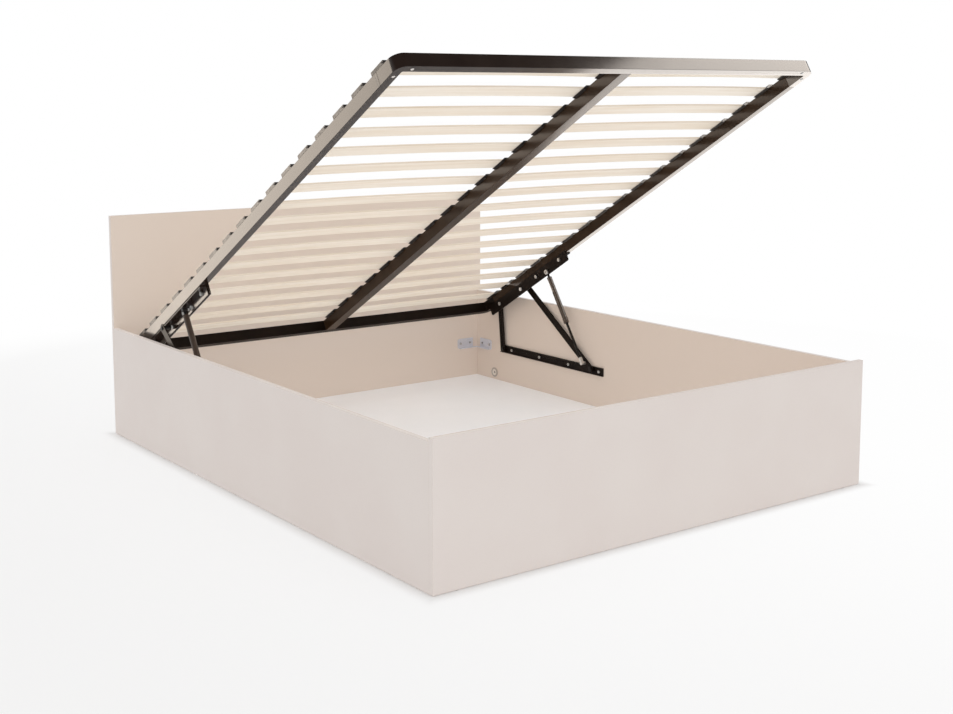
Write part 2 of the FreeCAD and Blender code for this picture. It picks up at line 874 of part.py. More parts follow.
def lower_bar_screws():
    pieces = []
    for side in SIDES.values():
        for along in lower_screw_places():
            head = (d.lower_screw_head_radius, d.lower_screw_head)
            pieces.append(side_screw(side, d.lower_web, along, lower_middle, *head))
    keep("lower_bar_screws", group("lower_bar_screws", pieces))


def pivot_pins(label, pivot):
    """Shouldered pins in both lower bars for one pair of links."""
    pieces = []
    for side in SIDES.values():
        steps = [
            (link_in - d.running_fit - d.pin_head, link_in - d.running_fit, d.pin_head_radius),
            (link_in - d.running_fit, link_out + d.running_fit, d.pin_radius),
            (link_out + d.running_fit, inner_x - d.lower_web, d.pin_sleeve_radius),
            (inner_x - d.lower_web, inner_x, d.pin_radius),
        ]
        pin = stepped("pivot_pin", side, steps)
        bind(pin, "Placement.Base.y", pivot[0])
        bind(pin, "Placement.Base.z", pivot[1])
        pieces.append(pin)
    keep(label, group(label, pieces))


def link(label, side, length, width, holes, pose):
    """Flat steel link with rounded ends."""
    piece = solid_of(label)
    half = width / 2
    outline = [(-half, -half), (length + half, -half), (length + half, half), (-half, half)]
    circles = [(place, 0, radius) for place, radius in holes]
    feature = pad(piece, "YZ_Plane", span(side, link_in, link_out), outline, circles)
    ease(piece, feature, FreeCAD.Vector(1, 0, 0), width * d.link_corner_share)
    keep(label, piece, pose)


def rear_link(name, side):
    loose = d.pin_radius + d.running_fit
    holes = [(0, loose), (rear_length, d.pin_radius)]
    link("rear_link_" + name, side, rear_length, d.rear_link_width, holes, rear_pose)
    steps = [
        (mount_in + d.pin_tip_gap, link_out, d.pin_radius),
        (link_out, link_head_out, d.link_pin_head_radius),
    ]
    pin = stepped("rear_link_pin_" + name, side, steps)
    keep("rear_link_pin_" + name, pin, rear_pose.multiply(at(rear_length, 0)))


def front_link(name, side):
    loose = d.pin_radius + d.running_fit
    holes = [(0, loose), (d.gas_stud_place, d.pin_radius), (front_length, loose)]
    link("front_link_" + name, side, front_length, d.front_link_width, holes, front_pose)
    steps = [
        (gas_eye_in - d.running_fit - d.gas_stud_head, gas_eye_in - d.running_fit, d.gas_stud_sleeve_radius),
        (gas_eye_in - d.running_fit, gas_eye_out + d.running_fit, d.pin_radius),
        (gas_eye_out + d.running_fit, link_in, d.gas_stud_sleeve_radius),
        (link_in, link_out, d.pin_radius),
    ]
    stud = stepped("gas_stud_" + name, side, steps)
    keep("gas_stud_" + name, stud, front_pose.multiply(at(d.gas_stud_place, 0)))


# Gas springs

def gas_eye(name, side, middle, neck, neck_radius, hole_radius):
    """Flat-sided eye with a neck along Y."""
    reach = span(side, gas_eye_in, gas_eye_out)
    ring = rod(name + "_ring", "x", (reach, middle, 0), d.gas_eye_radius)
    stem = rod(name + "_stem", "y", (side * gas_x, neck, 0), neck_radius)
    trim = box(
        name + "_trim",
        reach,
        (middle - gas_length, middle + gas_length),
        (-d.gas_eye_radius, d.gas_eye_radius),
    )
    whole = document.addObject("Part::Common", name + "_flats")
    whole.Base = fuse(name + "_blank", [ring, stem])
    whole.Tool = trim
    through = span(side, gas_eye_in - d.overrun, gas_eye_out + d.overrun)
    return whole, rod(name + "_hole", "x", (through, middle, 0), hole_radius)


def gas_rod(name, side):
    """Piston rod with its lower eye, hinged on the front link."""
    label = "gas_lower_eye_" + name
    blank, hole = gas_eye(
        label, side, as_size(0), (as_size(0), d.gas_socket), d.gas_socket_radius, d.pin_radius + d.running_fit
    )
    socket_reach = (d.gas_rod_start, d.gas_socket + d.overrun)
    socket = rod(label + "_socket", "y", (side * gas_x, socket_reach, 0), d.gas_rod_radius)
    keep(label, cut(label, blank, [hole, socket]), gas_pose)
    piston_low = tube_low + d.gas_gland + d.gas_piston_room
    piston_radius = d.gas_bore_radius - d.piston_fit
    profile = [
        (d.gas_rod_start, 0),
        (d.gas_rod_start, d.gas_rod_radius),
        (piston_low, d.gas_rod_radius),
        (piston_low, piston_radius),
        (piston_low + d.gas_piston, piston_radius),
        (piston_low + d.gas_piston, 0),
    ]
    piece = turned("gas_rod_" + name, "y", profile)
    keep("gas_rod_" + name, piece, gas_pose.multiply(across(side * gas_x)))


def across(place):
    """A pose that only shifts along X."""
    return FreeCAD.Placement(FreeCAD.Vector(place.value, 0, 0), FreeCAD.Rotation())


def gas_cylinder(name, side):
    """Pressure tube with its upper eye and the pin that reaches under the base."""
    gland_radius = d.gas_rod_radius + d.running_fit
    bore_top = tube_top - d.gas_tube_cap
    profile = [
        (tube_low, gland_radius),
        (tube_low, d.gas_tube_radius),
        (tube_top, d.gas_tube_radius),
        (tube_top, 0),
        (bore_top, 0),
        (bore_top, d.gas_bore_radius),
        (tube_low + d.gas_gland, d.gas_bore_radius),
        (tube_low + d.gas_gland, gland_radius),
    ]
    piece = turned("gas_cylinder_" + name, "y", profile)
    keep("gas_cylinder_" + name, piece, gas_pose.multiply(across(side * gas_x)))
    label = "gas_upper_eye_" + name
    blank, hole = gas_eye(label, side, gas_length, (tube_top, gas_length), d.gas_neck_radius, d.pin_radius)
    keep(label, cut(label, blank, [hole]), gas_pose)
    steps = [
        (mount_in + d.pin_tip_gap, gas_eye_out, d.pin_radius),
        (gas_eye_out, gas_eye_out + d.link_pin_head, d.gas_stud_sleeve_radius),
    ]
    pin = stepped("gas_top_pin_" + name, side, steps)
    keep("gas_top_pin_" + name, pin, gas_pose.multiply(at(gas_length, 0)))


# Lift-up base

def rail_block(name, inset, z):
    """A rounded block inside the outline of the base, set in from it by the inset on every side."""
    x = base_x - inset
    return rounded_block(name, (-x, x), (inset, base_length - inset), z, d.rail_corner - inset)


def rail_hole_places():
    """Places of the holes under the bent corners of the foot rail."""
    middle = d.rail_width / 2
    places = ((middle, d.rail_hole_far), (d.rail_hole_far, middle))
    return [(side * (base_x - inset), along) for side in SIDES.values() for inset, along in places]


def rail_ring():
    """The whole tube frame of the base, before it is parted into its rails."""
    through = (-d.overrun, d.rail_height + d.overrun)
    outer = rail_block("ring_outer", as_size(0), (as_size(0), d.rail_height))
    window = rail_block("ring_window", d.rail_width, through)
    room = rail_block("ring_room", d.rail_wall, (d.rail_wall, d.rail_height - d.rail_wall))
    inner_wall = rail_block("ring_inner_wall", d.rail_width - d.rail_wall, through)
    hollow = cut("ring_hollow", room, [inner_wall])
    depth = (-d.overrun, d.rail_wall + d.overrun)
    holes = [rod("rail_hole", "z", (*place, depth), d.rail_hole_radius) for place in rail_hole_places()]
    return cut("rail_ring", outer, [hollow, window] + holes)


def rail_plugs():
    """Round plugs that close the holes of the foot rail from below."""
    pieces = []
    for place in rail_hole_places():
        head = rod("plug_head", "z", (*place, (-d.plug_head, as_size(0))), d.plug_head_radius)
        reach = (as_size(0), d.rail_wall + d.plug_tail)
        tail = rod("plug_tail", "z", (*place, reach), d.rail_hole_radius - d.running_fit)
        pieces.append(fuse("rail_plug", [head, tail]))
    keep("rail_plugs", group("rail_plugs", pieces), base_pose)


def rails():
    """Foot and head rails with their bent corners, and the two straight side rails."""
    ring = rail_ring()
    height = (-d.overrun, d.rail_height + d.overrun)
    all_x = (-base_x - d.overrun, base_x + d.overrun)
    middle_y = (d.rail_end_leg, base_length - d.rail_end_leg)
    stretches = {
        "foot_rail": (all_x, (-d.overrun, d.rail_end_leg)),
        "head_rail": (all_x, (base_length - d.rail_end_leg, base_length + d.overrun)),
        "side_rail_left": (span(-1, 0, base_x + d.overrun), middle_y),
        "side_rail_right": (span(1, 0, base_x + d.overrun), middle_y),
    }
    for label, (x, y) in stretches.items():
        part = document.addObject("Part::Common", label)
        part.Base = ring
        part.Tool = box(label + "_stretch", x, y, height)
        keep(label, part, base_pose)


def centre_bar():
    """Tube along the middle of the base, between the end rails."""
    half = d.centre_bar_width / 2
    y = (d.rail_width, base_length - d.rail_width)
    blank = box("centre_bar_blank", (-half, half), y, (as_size(0), d.rail_height))
    inside = half - d.centre_bar_wall
    height = (d.centre_bar_wall, d.rail_height - d.centre_bar_wall)
    hollow = box("centre_bar_hollow", (-inside, inside), (y[0] - d.overrun, y[1] + d.overrun), height)
    keep("centre_bar", cut("centre_bar", blank, [hollow]), base_pose)


def slats(label, side):
    """One column of sprung slats, each bent upwards a little."""
    piece = solid_of(label)
    x = span(side, d.slat_middle, base_x - d.slat_rail_inset)
    low = d.holder_pocket_floor + d.holder_pocket_room
    high = low + d.slat_thickness
    chord = x[1] - x[0]
    radius = chord * chord / (8 * d.slat_rise) + d.slat_rise / 2
    drawing = piece.newObject("Sketcher::SketchObject", label + "_sketch")
    drawing.AttachmentSupport = [(origin_part(piece, "XZ_Plane"), "")]
    drawing.MapMode = "FlatFace"
    bind(drawing, "AttachmentOffset.Base.z", -(d.slat_first + slat_half))
    middle = ((x[0] + x[1]) / 2).value
    for up in (low, high):
        right = FreeCAD.Vector(x[1].value, up.value, 0)
        crown = FreeCAD.Vector(middle, (up + d.slat_rise).value, 0)
        left = FreeCAD.Vector(x[0].value, up.value, 0)
        arc = drawing.addGeometry(Part.Arc(right, crown, left), False)
        pin_point(drawing, arc, 1, (x[1], up))
        pin_point(drawing, arc, 2, (x[0], up))
        rule(drawing, Sketcher.Constraint("Radius", arc, radius.value), radius)
    for end, place in ((1, x[1]), (2, x[0])):
        start = FreeCAD.Vector(place.value, low.value, 0)
        stop = FreeCAD.Vector(place.value, high.value, 0)
        edge = drawing.addGeometry(Part.LineSegment(start, stop), False)
        drawing.addConstraint(Sketcher.Constraint("Coincident", edge, 1, 0, end))
        drawing.addConstraint(Sketcher.Constraint("Coincident", edge, 2, 1, end))
    feature = piece.newObject("PartDesign::Pad", label + "_pad")
    feature.Profile = drawing
    bind(feature, "Length", d.slat_width)
    row(piece, [feature], slat_pitch, d.slat_count)
    keep(label, piece, base_pose)


def peg_place():
    """Place along Y of the first peg, in the lug of the first holder."""
    return d.slat_first - slat_half - d.holder_wall - d.holder_lug / 2


def rail_holders(label, side):
    """Plastic holders on top of a side rail, one for each slat."""
    piece = solid_of(label)
    foot = d.rail_height - d.holder_grip
    inward = base_x - d.holder_reach
    outline = [
        (side * inward, d.holder_pocket_floor - d.holder_lip),
        (side * rail_face, foot),
        (side * rail_face, d.rail_height),
        (side * base_x, d.rail_height),
        (side * base_x, d.holder_top),
        (side * (inward + d.holder_slant), d.holder_top),
    ]
    low = d.slat_first - slat_half - d.holder_wall - d.holder_lug
    high = d.slat_first + slat_half + d.holder_wall
    block = pad(piece, "XZ_Plane", (low, high), outline)
    x = span(side, inward - d.overrun, base_x - d.slat_rail_inset + d.holder_pocket_end)
    half = slat_half + d.holder_pocket_room
    floor, roof = d.holder_pocket_floor, d.holder_pocket_roof
    mouth = [(x[0], floor), (x[1], floor), (x[1], roof), (x[0], roof)]
    seat = pocket(piece, "XZ_Plane", (d.slat_first - half, d.slat_first + half), mouth)
    reach = span(side, base_x - d.peg_length + d.peg_proud, base_x + d.overrun)
    hole = bore(piece, reach, (peg_place(), d.peg_up), d.peg_radius)
    row(piece, [block, seat, hole], slat_pitch, d.slat_count)
    keep(label, piece, base_pose)


def centre_holders():
    """Double holders over the centre bar, each for a pair of slats."""
    piece = solid_of("centre_holders")
    foot = d.rail_height - d.holder_grip
    bar = d.centre_bar_width / 2
    reach = d.centre_holder_reach
    lip = d.holder_pocket_floor - d.holder_lip
    outline = [
        (-reach, lip),
        (-bar, foot),
        (-bar, d.rail_height),
        (bar, d.rail_height),
        (bar, foot),
        (reach, lip),
        (reach - d.holder_slant, d.holder_top),
        (-reach + d.holder_slant, d.holder_top),
    ]
    half = slat_half + d.holder_wall
    block = pad(piece, "XZ_Plane", (d.slat_first - half, d.slat_first + half), outline)
    features = [block]
    floor, roof = d.holder_pocket_floor, d.holder_pocket_roof
    inside = slat_half + d.holder_pocket_room
    for side in SIDES.values():
        x = span(side, d.slat_middle - d.holder_pocket_end, reach + d.overrun)
        mouth = [(x[0], floor), (x[1], floor), (x[1], roof), (x[0], roof)]
        features.append(pocket(piece, "XZ_Plane", (d.slat_first - inside, d.slat_first + inside), mouth))
    row(piece, features, slat_pitch, d.slat_count)
    keep("centre_holders", piece, base_pose)


def holder_pegs():
    """Small pegs that fix the rail holders from outside."""
    pieces = []
    for side in SIDES.values():
        reach = span(side, base_x - d.peg_length + d.peg_proud, base_x + d.peg_proud)
        for number in range(SIZES["slat_count"]):
            along = peg_place() + number * slat_pitch
            pieces.append(rod("holder_peg", "x", (reach, along, d.peg_up), d.peg_radius))
    keep("holder_pegs", group("holder_pegs", pieces), base_pose)


def mount_angle(name, side):
    """Steel angle under a side rail, with windows for the travelling pin ends."""
    label = "mount_angle_" + name
    shelf_out = base_x - d.mount_side_room
    outline = [
        (side * mount_in, -d.mount_drop),
        (side * mount_out, -d.mount_drop),
        (side * mount_out, -d.mount_plate),
        (side * shelf_out, -d.mount_plate),
        (side * shelf_out, 0),
        (side * mount_in, 0),
    ]
    angle = solid_of(label + "_profile")
    pad(angle, "XZ_Plane", mount_y, outline)
    through = span(side, mount_in - d.overrun, mount_out + d.overrun)
    tools = []
    for place in bolt_places:
        tools.append(rod(label + "_bolt_hole", "x", (through, *place), d.bolt_radius + d.running_fit))
    tools.append(rod(label + "_pin_hole", "x", (through, *front_pin), d.pin_radius + d.running_fit))
    windows = (
        (rear_pin, d.rear_window_footward, d.rear_window_headward, d.rear_window_below, d.rear_window_above),
        (gas_pin, d.gas_window_footward, d.gas_window_headward, d.gas_window_below, d.gas_window_above),
    )
    for (along, up), footward, headward, below, above in windows:
        y = (along - footward, along + headward)
        tools.append(box(label + "_window", through, y, (up - below, up + above)))
    keep(label, cut(label, angle, tools), base_pose)


def upper_bar(name, side):
    """Flat bar along the inner face of the angle, bolted to it."""
    label = "upper_bar_" + name
    piece = solid_of(label)
    y = (base_length - d.upper_start, mount_y[1])
    outline = [(y[0], -d.upper_low), (y[1], -d.upper_low), (y[1], d.upper_high), (y[0], d.upper_high)]
    loose = d.bolt_radius + d.running_fit
    circles = [(*place, loose) for place in bolt_places]
    circles.append((*front_pin, d.pin_radius + d.running_fit))
    feature = pad(piece, "YZ_Plane", span(side, upper_in, mount_in), outline, circles)
    ease(piece, feature, FreeCAD.Vector(1, 0, 0), d.upper_corner)
    keep(label, piece, base_pose)


def upper_bar_bolts():
    """Bolts and nuts that hold the upper bars to the angles."""
    bolts, nuts = [], []
    head_radii = [d.bolt_head_radius for place in bolt_places[1:]] + [d.wide_bolt_head_radius]
    for side in SIDES.values():
        for place, head_radius in zip(bolt_places, head_radii):
            head = rod("bolt_head", "x", (span(side, upper_in - d.bolt_head, upper_in), *place), head_radius)
            shank_reach = span(side, upper_in, mount_out + d.nut_height)
            shank = rod("bolt_shank", "x", (shank_reach, *place), d.bolt_radius)
            bolts.append(fuse("upper_bar_bolt", [head, shank]))
            nuts.append(nut(side, place))
    keep("upper_bar_bolts", group("upper_bar_bolts", bolts), base_pose)
    keep("upper_bar_nuts", group("upper_bar_nuts", nuts), base_pose)


def nut(side, place):
    """Hexagon nut on the outer face of an angle, with two flats level."""
    block = document.addObject("Part::Prism", "nut_block")
    block.Polygon = 6
    block.Placement = FreeCAD.Placement(
        FreeCAD.Vector(), FreeCAD.Rotation(FreeCAD.Vector(0, 1, 0), QUARTER_TURN)
    ).multiply(FreeCAD.Placement(FreeCAD.Vector(), FreeCAD.Rotation(FreeCAD.Vector(0, 0, 1), QUARTER_TURN)))
    reach = span(side, mount_out, mount_out + d.nut_height)
    bind(block, "Circumradius", d.nut_radius)
    bind(block, "Height", reach[1] - reach[0])
    for axis, amount in zip("xyz", (reach[0], *place)):
        bind(block, "Placement.Base." + axis, amount)
    through = (reach[0] - d.overrun, reach[1] + d.overrun)
    return cut("nut", block, [rod("nut_hole", "x", (through, *place), d.bolt_radius + d.running_fit)])


def front_link_pins():
    """Shouldered pins of the base that turn in the upper ends of the front links."""
    pieces = []
    for side in SIDES.values():
        steps = [
            (upper_in - d.pin_head, upper_in, d.link_pin_head_radius),
            (upper_in, mount_out, d.pin_radius),
            (mount_out, link_in - d.running_fit, d.pin_sleeve_radius),
            (link_in - d.running_fit, link_out + d.running_fit, d.pin_radius),
            (link_out + d.running_fit, link_head_out + d.running_fit, d.link_pin_head_radius),
        ]
        pin = stepped("front_link_pin", side, steps)
        bind(pin, "Placement.Base.y", front_pin[0])
        bind(pin, "Placement.Base.z", front_pin[1])
        pieces.append(pin)
    keep("front_link_pins", group("front_link_pins", pieces), base_pose)


def build():
    """Make every piece of the bed."""
    end_board("headboard", 1, d.headboard_top)
    end_board("footboard", -1, d.footboard_top)
    storage_floor()
    floor_battens()
    glides()
    dowels_and_bolts()
    panel_connectors()
    corner_brackets()
    corner_bracket_screws()
    foot_rests()
    lower_bar_screws()
    pivot_pins("rear_pivot_pins", rear_pivot)
    pivot_pins("front_pivot_pins", front_pivot)
    rails()
    rail_plugs()
    centre_bar()
    centre_holders()
    holder_pegs()
    upper_bar_bolts()
    front_link_pins()
    for name, side in SIDES.items():
        side_panel("side_panel_" + name, side)
        lower_bar("lower_bar_" + name, side)
        rear_link(name, side)
        front_link(name, side)
        gas_rod(name, side)
        gas_cylinder(name, side)
        slats("slats_" + name, side)
        rail_holders("rail_holders_" + name, side)
        mount_angle(name, side)
        upper_bar(name, side)


def check():
    """Stop on any object that failed or any shape that is empty or not sound."""
    document.recompute()
    for item in document.Objects:
        faults = [state for state in item.State if state in ("Invalid", "Error")]
        if faults:
            raise RuntimeError(f"{item.Label}: {faults}")
    for node in nodes:
        if node.Shape.isNull() or not node.Shape.isValid() or not node.Shape.Solids:
            raise RuntimeError(f"{node.Label}: no sound solid")


def write():
    """Write one file for each piece."""
    os.makedirs("parts", exist_ok=True)
    for node in nodes:
        node.Shape.exportStep(f"parts/{node.Label}.step")
        size = node.Shape.BoundBox
        print(f"{node.Label}: {len(node.Shape.Solids)} solids, {node.Shape.Volume:.0f} mm3, {size}")


build()
check()
write()
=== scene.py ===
import json
import math

import bmesh
import bpy
from mathutils import Matrix, Vector

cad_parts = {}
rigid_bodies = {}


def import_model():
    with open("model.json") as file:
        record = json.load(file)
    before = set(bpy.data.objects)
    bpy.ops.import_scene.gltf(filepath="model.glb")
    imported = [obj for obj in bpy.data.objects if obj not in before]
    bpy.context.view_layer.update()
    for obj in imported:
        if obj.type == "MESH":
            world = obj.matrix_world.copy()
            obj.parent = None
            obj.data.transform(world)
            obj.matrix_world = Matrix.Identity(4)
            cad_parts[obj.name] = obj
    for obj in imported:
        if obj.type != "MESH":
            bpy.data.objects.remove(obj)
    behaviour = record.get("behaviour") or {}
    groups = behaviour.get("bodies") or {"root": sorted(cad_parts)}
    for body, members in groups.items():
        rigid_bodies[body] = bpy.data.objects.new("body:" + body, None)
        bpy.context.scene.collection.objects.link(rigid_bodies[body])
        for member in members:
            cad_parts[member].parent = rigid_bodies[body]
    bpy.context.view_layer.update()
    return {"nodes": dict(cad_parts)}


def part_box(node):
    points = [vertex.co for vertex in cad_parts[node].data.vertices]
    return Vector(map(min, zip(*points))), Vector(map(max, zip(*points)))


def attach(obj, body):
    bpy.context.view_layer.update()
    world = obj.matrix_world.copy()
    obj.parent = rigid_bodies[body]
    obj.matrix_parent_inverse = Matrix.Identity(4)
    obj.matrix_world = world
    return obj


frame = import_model()
nodes = frame["nodes"]
scene = bpy.context.scene
scene.view_settings.view_transform = "Standard"

SIDES = {"left": -1, "right": 1}
# The direction in which each board faces the inside of the box, where its laminate takes painted shade
INWARD = {
    "headboard": (0, -1, 0),
    "footboard": (0, 1, 0),
    "side_panel_left": (1, 0, 0),
    "side_panel_right": (-1, 0, 0),
}
# Place of the open slatted base: its foot end underside, and its tilt about X
BASE_PLACE = Vector((0.0, -0.82388, 1.30582))
BASE_TILT = math.radians(-30.2)
BASE_TURN = Matrix.Rotation(BASE_TILT, 3, "X")
# Where the slats start along the base, and their spacing
SLAT_START, SLAT_PITCH = 0.061, 0.11275


def on_base(across, along, up):
    """A point of the level base, measured from its foot end, where the open base has it."""
    return BASE_PLACE + BASE_TURN @ Vector((across, along, up))


def colour(red, green, blue):
    """A colour given as screen values from 0 to 255, as the shader takes it."""
    def linear(value):
        value /= 255
        return value / 12.92 if value <= 0.04045 else ((value + 0.055) / 1.055) ** 2.4
    return (linear(red), linear(green), linear(blue), 1.0)


class Graph:
    """A node tree with short ways to add and join its nodes."""

    def __init__(self, tree):
        self.tree = tree

    def join(self, value, socket):
        """Link an output to a socket, or set the socket to a plain value."""
        if isinstance(value, bpy.types.NodeSocket):
            self.tree.links.new(value, socket)
        else:
            socket.default_value = value

    def node(self, kind, inputs=None, **settings):
        """A node with its settings, and with its inputs linked or set."""
        made = self.tree.nodes.new(kind)
        for key, value in settings.items():
            setattr(made, key, value)
        for key, value in (inputs or {}).items():
            self.join(value, made.inputs[key])
        return made

    def math(self, operation, first, second=0.0):
        return self.node("ShaderNodeMath", {0: first, 1: second}, operation=operation).outputs[0]

    def span(self, value, low, high, to_low=0.0, to_high=1.0):
        """A value between low and high, eased onto another range."""
        return self.node(
            "ShaderNodeMapRange",
            {0: value, 1: low, 2: high, 3: to_low, 4: to_high},
            interpolation_type="SMOOTHSTEP",
        ).outputs[0]

    def blend(self, share, first, second):
        """One shader passing into another."""
        return self.node("ShaderNodeMixShader", {0: share, 1: first, 2: second}).outputs[0]


class Finish(Graph):
    """A node material with the few node shapes that all the finishes share."""

    def __init__(self, name, placed=False, **constants):
        """Constants are shader sockets; a placed finish is measured on the level base."""
        self.material = bpy.data.materials.new(name)
        self.material.use_nodes = True
        super().__init__(self.material.node_tree)
        self.shader = self.tree.nodes["Principled BSDF"]
        for socket, value in constants.items():
            self.shader.inputs[socket.replace("_", " ")].default_value = value
        self.place = self.node("ShaderNodeTexCoord").outputs["Object"]
        if placed:
            self.place = self.node(
                "ShaderNodeMapping",
                {"Vector": self.place, "Location": BASE_PLACE, "Rotation": (BASE_TILT, 0, 0)},
                vector_type="TEXTURE",
            ).outputs[0]

    def axes(self):
        return self.node("ShaderNodeSeparateXYZ", {0: self.place}).outputs

    def stretched(self, scale, place=None):
        inputs = {"Vector": place or self.place, "Scale": scale}
        return self.node("ShaderNodeMapping", inputs).outputs[0]

    def noise(self, scale, detail=3.0, rough=0.5, place=None):
        return self.node(
            "ShaderNodeTexNoise",
            {"Vector": place or self.place, "Scale": scale, "Detail": detail, "Roughness": rough},
        ).outputs[0]

    def spread(self, noise, to_low=0.0, to_high=1.0):
        """The middle of a noise, where nearly all of it lies, spread over a range."""
        return self.span(noise, 0.3, 0.7, to_low, to_high)

    def mix(self, share, first, second):
        inputs = {0: share, 6: first, 7: second}
        return self.node("ShaderNodeMix", inputs, data_type="RGBA").outputs[2]

    def paint(self, tint):
        self.join(tint, self.shader.inputs["Base Color"])

    def gloss(self, value):
        self.join(value, self.shader.inputs["Roughness"])

    def relief(self, height, depth, strength):
        inputs = {"Height": height, "Distance": depth, "Strength": strength}
        self.join(self.node("ShaderNodeBump", inputs).outputs[0], self.shader.inputs["Normal"])

    def facing(self, direction):
        """How squarely a surface faces a direction, in the piece's own frame."""
        normal = self.node(
            "ShaderNodeVectorTransform",
            {0: self.node("ShaderNodeNewGeometry").outputs["Normal"]},
            vector_type="NORMAL",
            convert_from="WORLD",
            convert_to="OBJECT",
        ).outputs[0]
        inputs = {0: normal, 1: direction}
        return self.node("ShaderNodeVectorMath", inputs, operation="DOT_PRODUCT").outputs["Value"]

    def length(self, vector):
        return self.node("ShaderNodeVectorMath", {0: vector}, operation="LENGTH").outputs["Value"]

    def edge_distance(self, low, high):
        """Distance from a point on a board's face to the nearest edge of the board."""
        gaps = []
        for axis, value in enumerate(self.axes()):
            middle, half = (low[axis] + high[axis]) / 2, (high[axis] - low[axis]) / 2
            offset = self.math("ABSOLUTE", self.math("SUBTRACT", value, middle))
            gaps.append(self.math("SUBTRACT", half, offset))
        lesser = self.math("MINIMUM", gaps[0], gaps[1])
        greater = self.math("MAXIMUM", gaps[0], gaps[1])
        return self.math("MAXIMUM", lesser, self.math("MINIMUM", greater, gaps[2]))


# Board finishes

# How far from a board's edge it is rubbed, and where the line of its edge band begins and ends
RUBBED_EDGE = 0.0035
BAND_BEGIN, BAND_END = (0.0007, 0.001), (0.0011, 0.0014)
# Width of the duller cut edge of a white sheet
CUT_EDGE = 0.0025


def laminate(name, inward):
    """Beige melamine with painted shade on the faces inside the box, warmer and darker: faint clouds, flecks,
    an edge band line and rubbed edges.
    """
    look = Finish("laminate_" + name, Specular_IOR_Level=0.2)
    inset = look.edge_distance(*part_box(name))
    clouds = look.spread(look.noise(4.0, detail=2.0))
    flecks = look.span(look.noise(520.0, detail=2.0, rough=0.6), 0.52, 0.8, 0.0, 0.2)
    band = look.math("MULTIPLY", look.span(inset, *BAND_BEGIN), look.span(inset, *BAND_END, 0.4, 0.0))
    scuffs = look.span(look.noise(60.0, detail=4.0, rough=0.7), 0.5, 0.72)
    scuffs = look.math("MULTIPLY", scuffs, 0.55)
    rubbed = look.math("MULTIPLY", look.span(inset, 0.0, RUBBED_EDGE, 1.0, 0.0), scuffs)
    # Painted shade: faces that look into the box are tinted warmer and darker, as if in the box's shade
    inside = look.span(look.facing(inward), 0.4, 0.6)
    tint = look.mix(clouds, colour(225, 216, 211), colour(227, 219, 214))
    tint = look.mix(inside, tint, colour(226, 212, 200))
    tint = look.mix(flecks, tint, colour(208, 194, 183))
    tint = look.mix(band, tint, colour(190, 175, 163))
    look.paint(look.mix(rubbed, tint, colour(236, 228, 220)))
    look.gloss(look.spread(look.noise(38.0, rough=0.6), 0.42, 0.52))
    look.relief(look.noise(1400.0, detail=2.0), depth=0.00012, strength=0.35)
    return look.material


def white_sheet(name):
    """White foil board: near even, with faint scuffs and a duller cut edge."""
    look = Finish("white_" + name, Specular_IOR_Level=0.45)
    edge = look.span(look.edge_distance(*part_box(name)), 0.0, CUT_EDGE, 1.0, 0.0)
    marks = look.noise(26.0, detail=5.0, rough=0.75, place=look.stretched((0.5, 4.0, 1.0)))
    scuffs = look.math("MULTIPLY", look.span(marks, 0.58, 0.8), 0.2)
    clouds = look.spread(look.noise(5.0, detail=4.0, rough=0.6))
    tint = look.mix(clouds, colour(247, 248, 250), colour(250, 250, 252))
    tint = look.mix(scuffs, tint, colour(226, 221, 216))
    look.paint(look.mix(look.math("MULTIPLY", edge, 0.6), tint, colour(205, 193, 180)))
    look.gloss(look.spread(look.noise(50.0, rough=0.6), 0.4, 0.52))
    look.relief(look.noise(900.0, detail=2.0), depth=0.0001, strength=0.25)
    return look.material


def chipboard():
    """Raw chipboard: pressed chips of differing tone."""
    look = Finish("chipboard")
    place = look.stretched((260, 90, 260))
    chips = look.node("ShaderNodeTexVoronoi", {"Vector": place, "Scale": 1.0}).outputs
    tint = look.mix(chips["Color"], colour(196, 164, 122), colour(226, 202, 164))
    look.paint(look.mix(0.55, tint, colour(208, 181, 141)))
    look.gloss(look.span(chips["Distance"], 0.0, 0.8, 0.7, 0.9))
    look.relief(chips["Distance"], depth=0.0004, strength=0.5)
    return look.material


def dowel_wood():
    """Turned dowel: grain along its length."""
    look = Finish("dowel_wood")
    grain = look.noise(1.0, detail=4.0, rough=0.6, place=look.stretched((420, 30, 420)))
    look.paint(look.mix(look.spread(grain), colour(205, 172, 128), colour(228, 201, 160)))
    look.gloss(look.spread(grain, 0.55, 0.75))
    look.relief(grain, depth=0.0003, strength=0.5)
    return look.material


# Slats

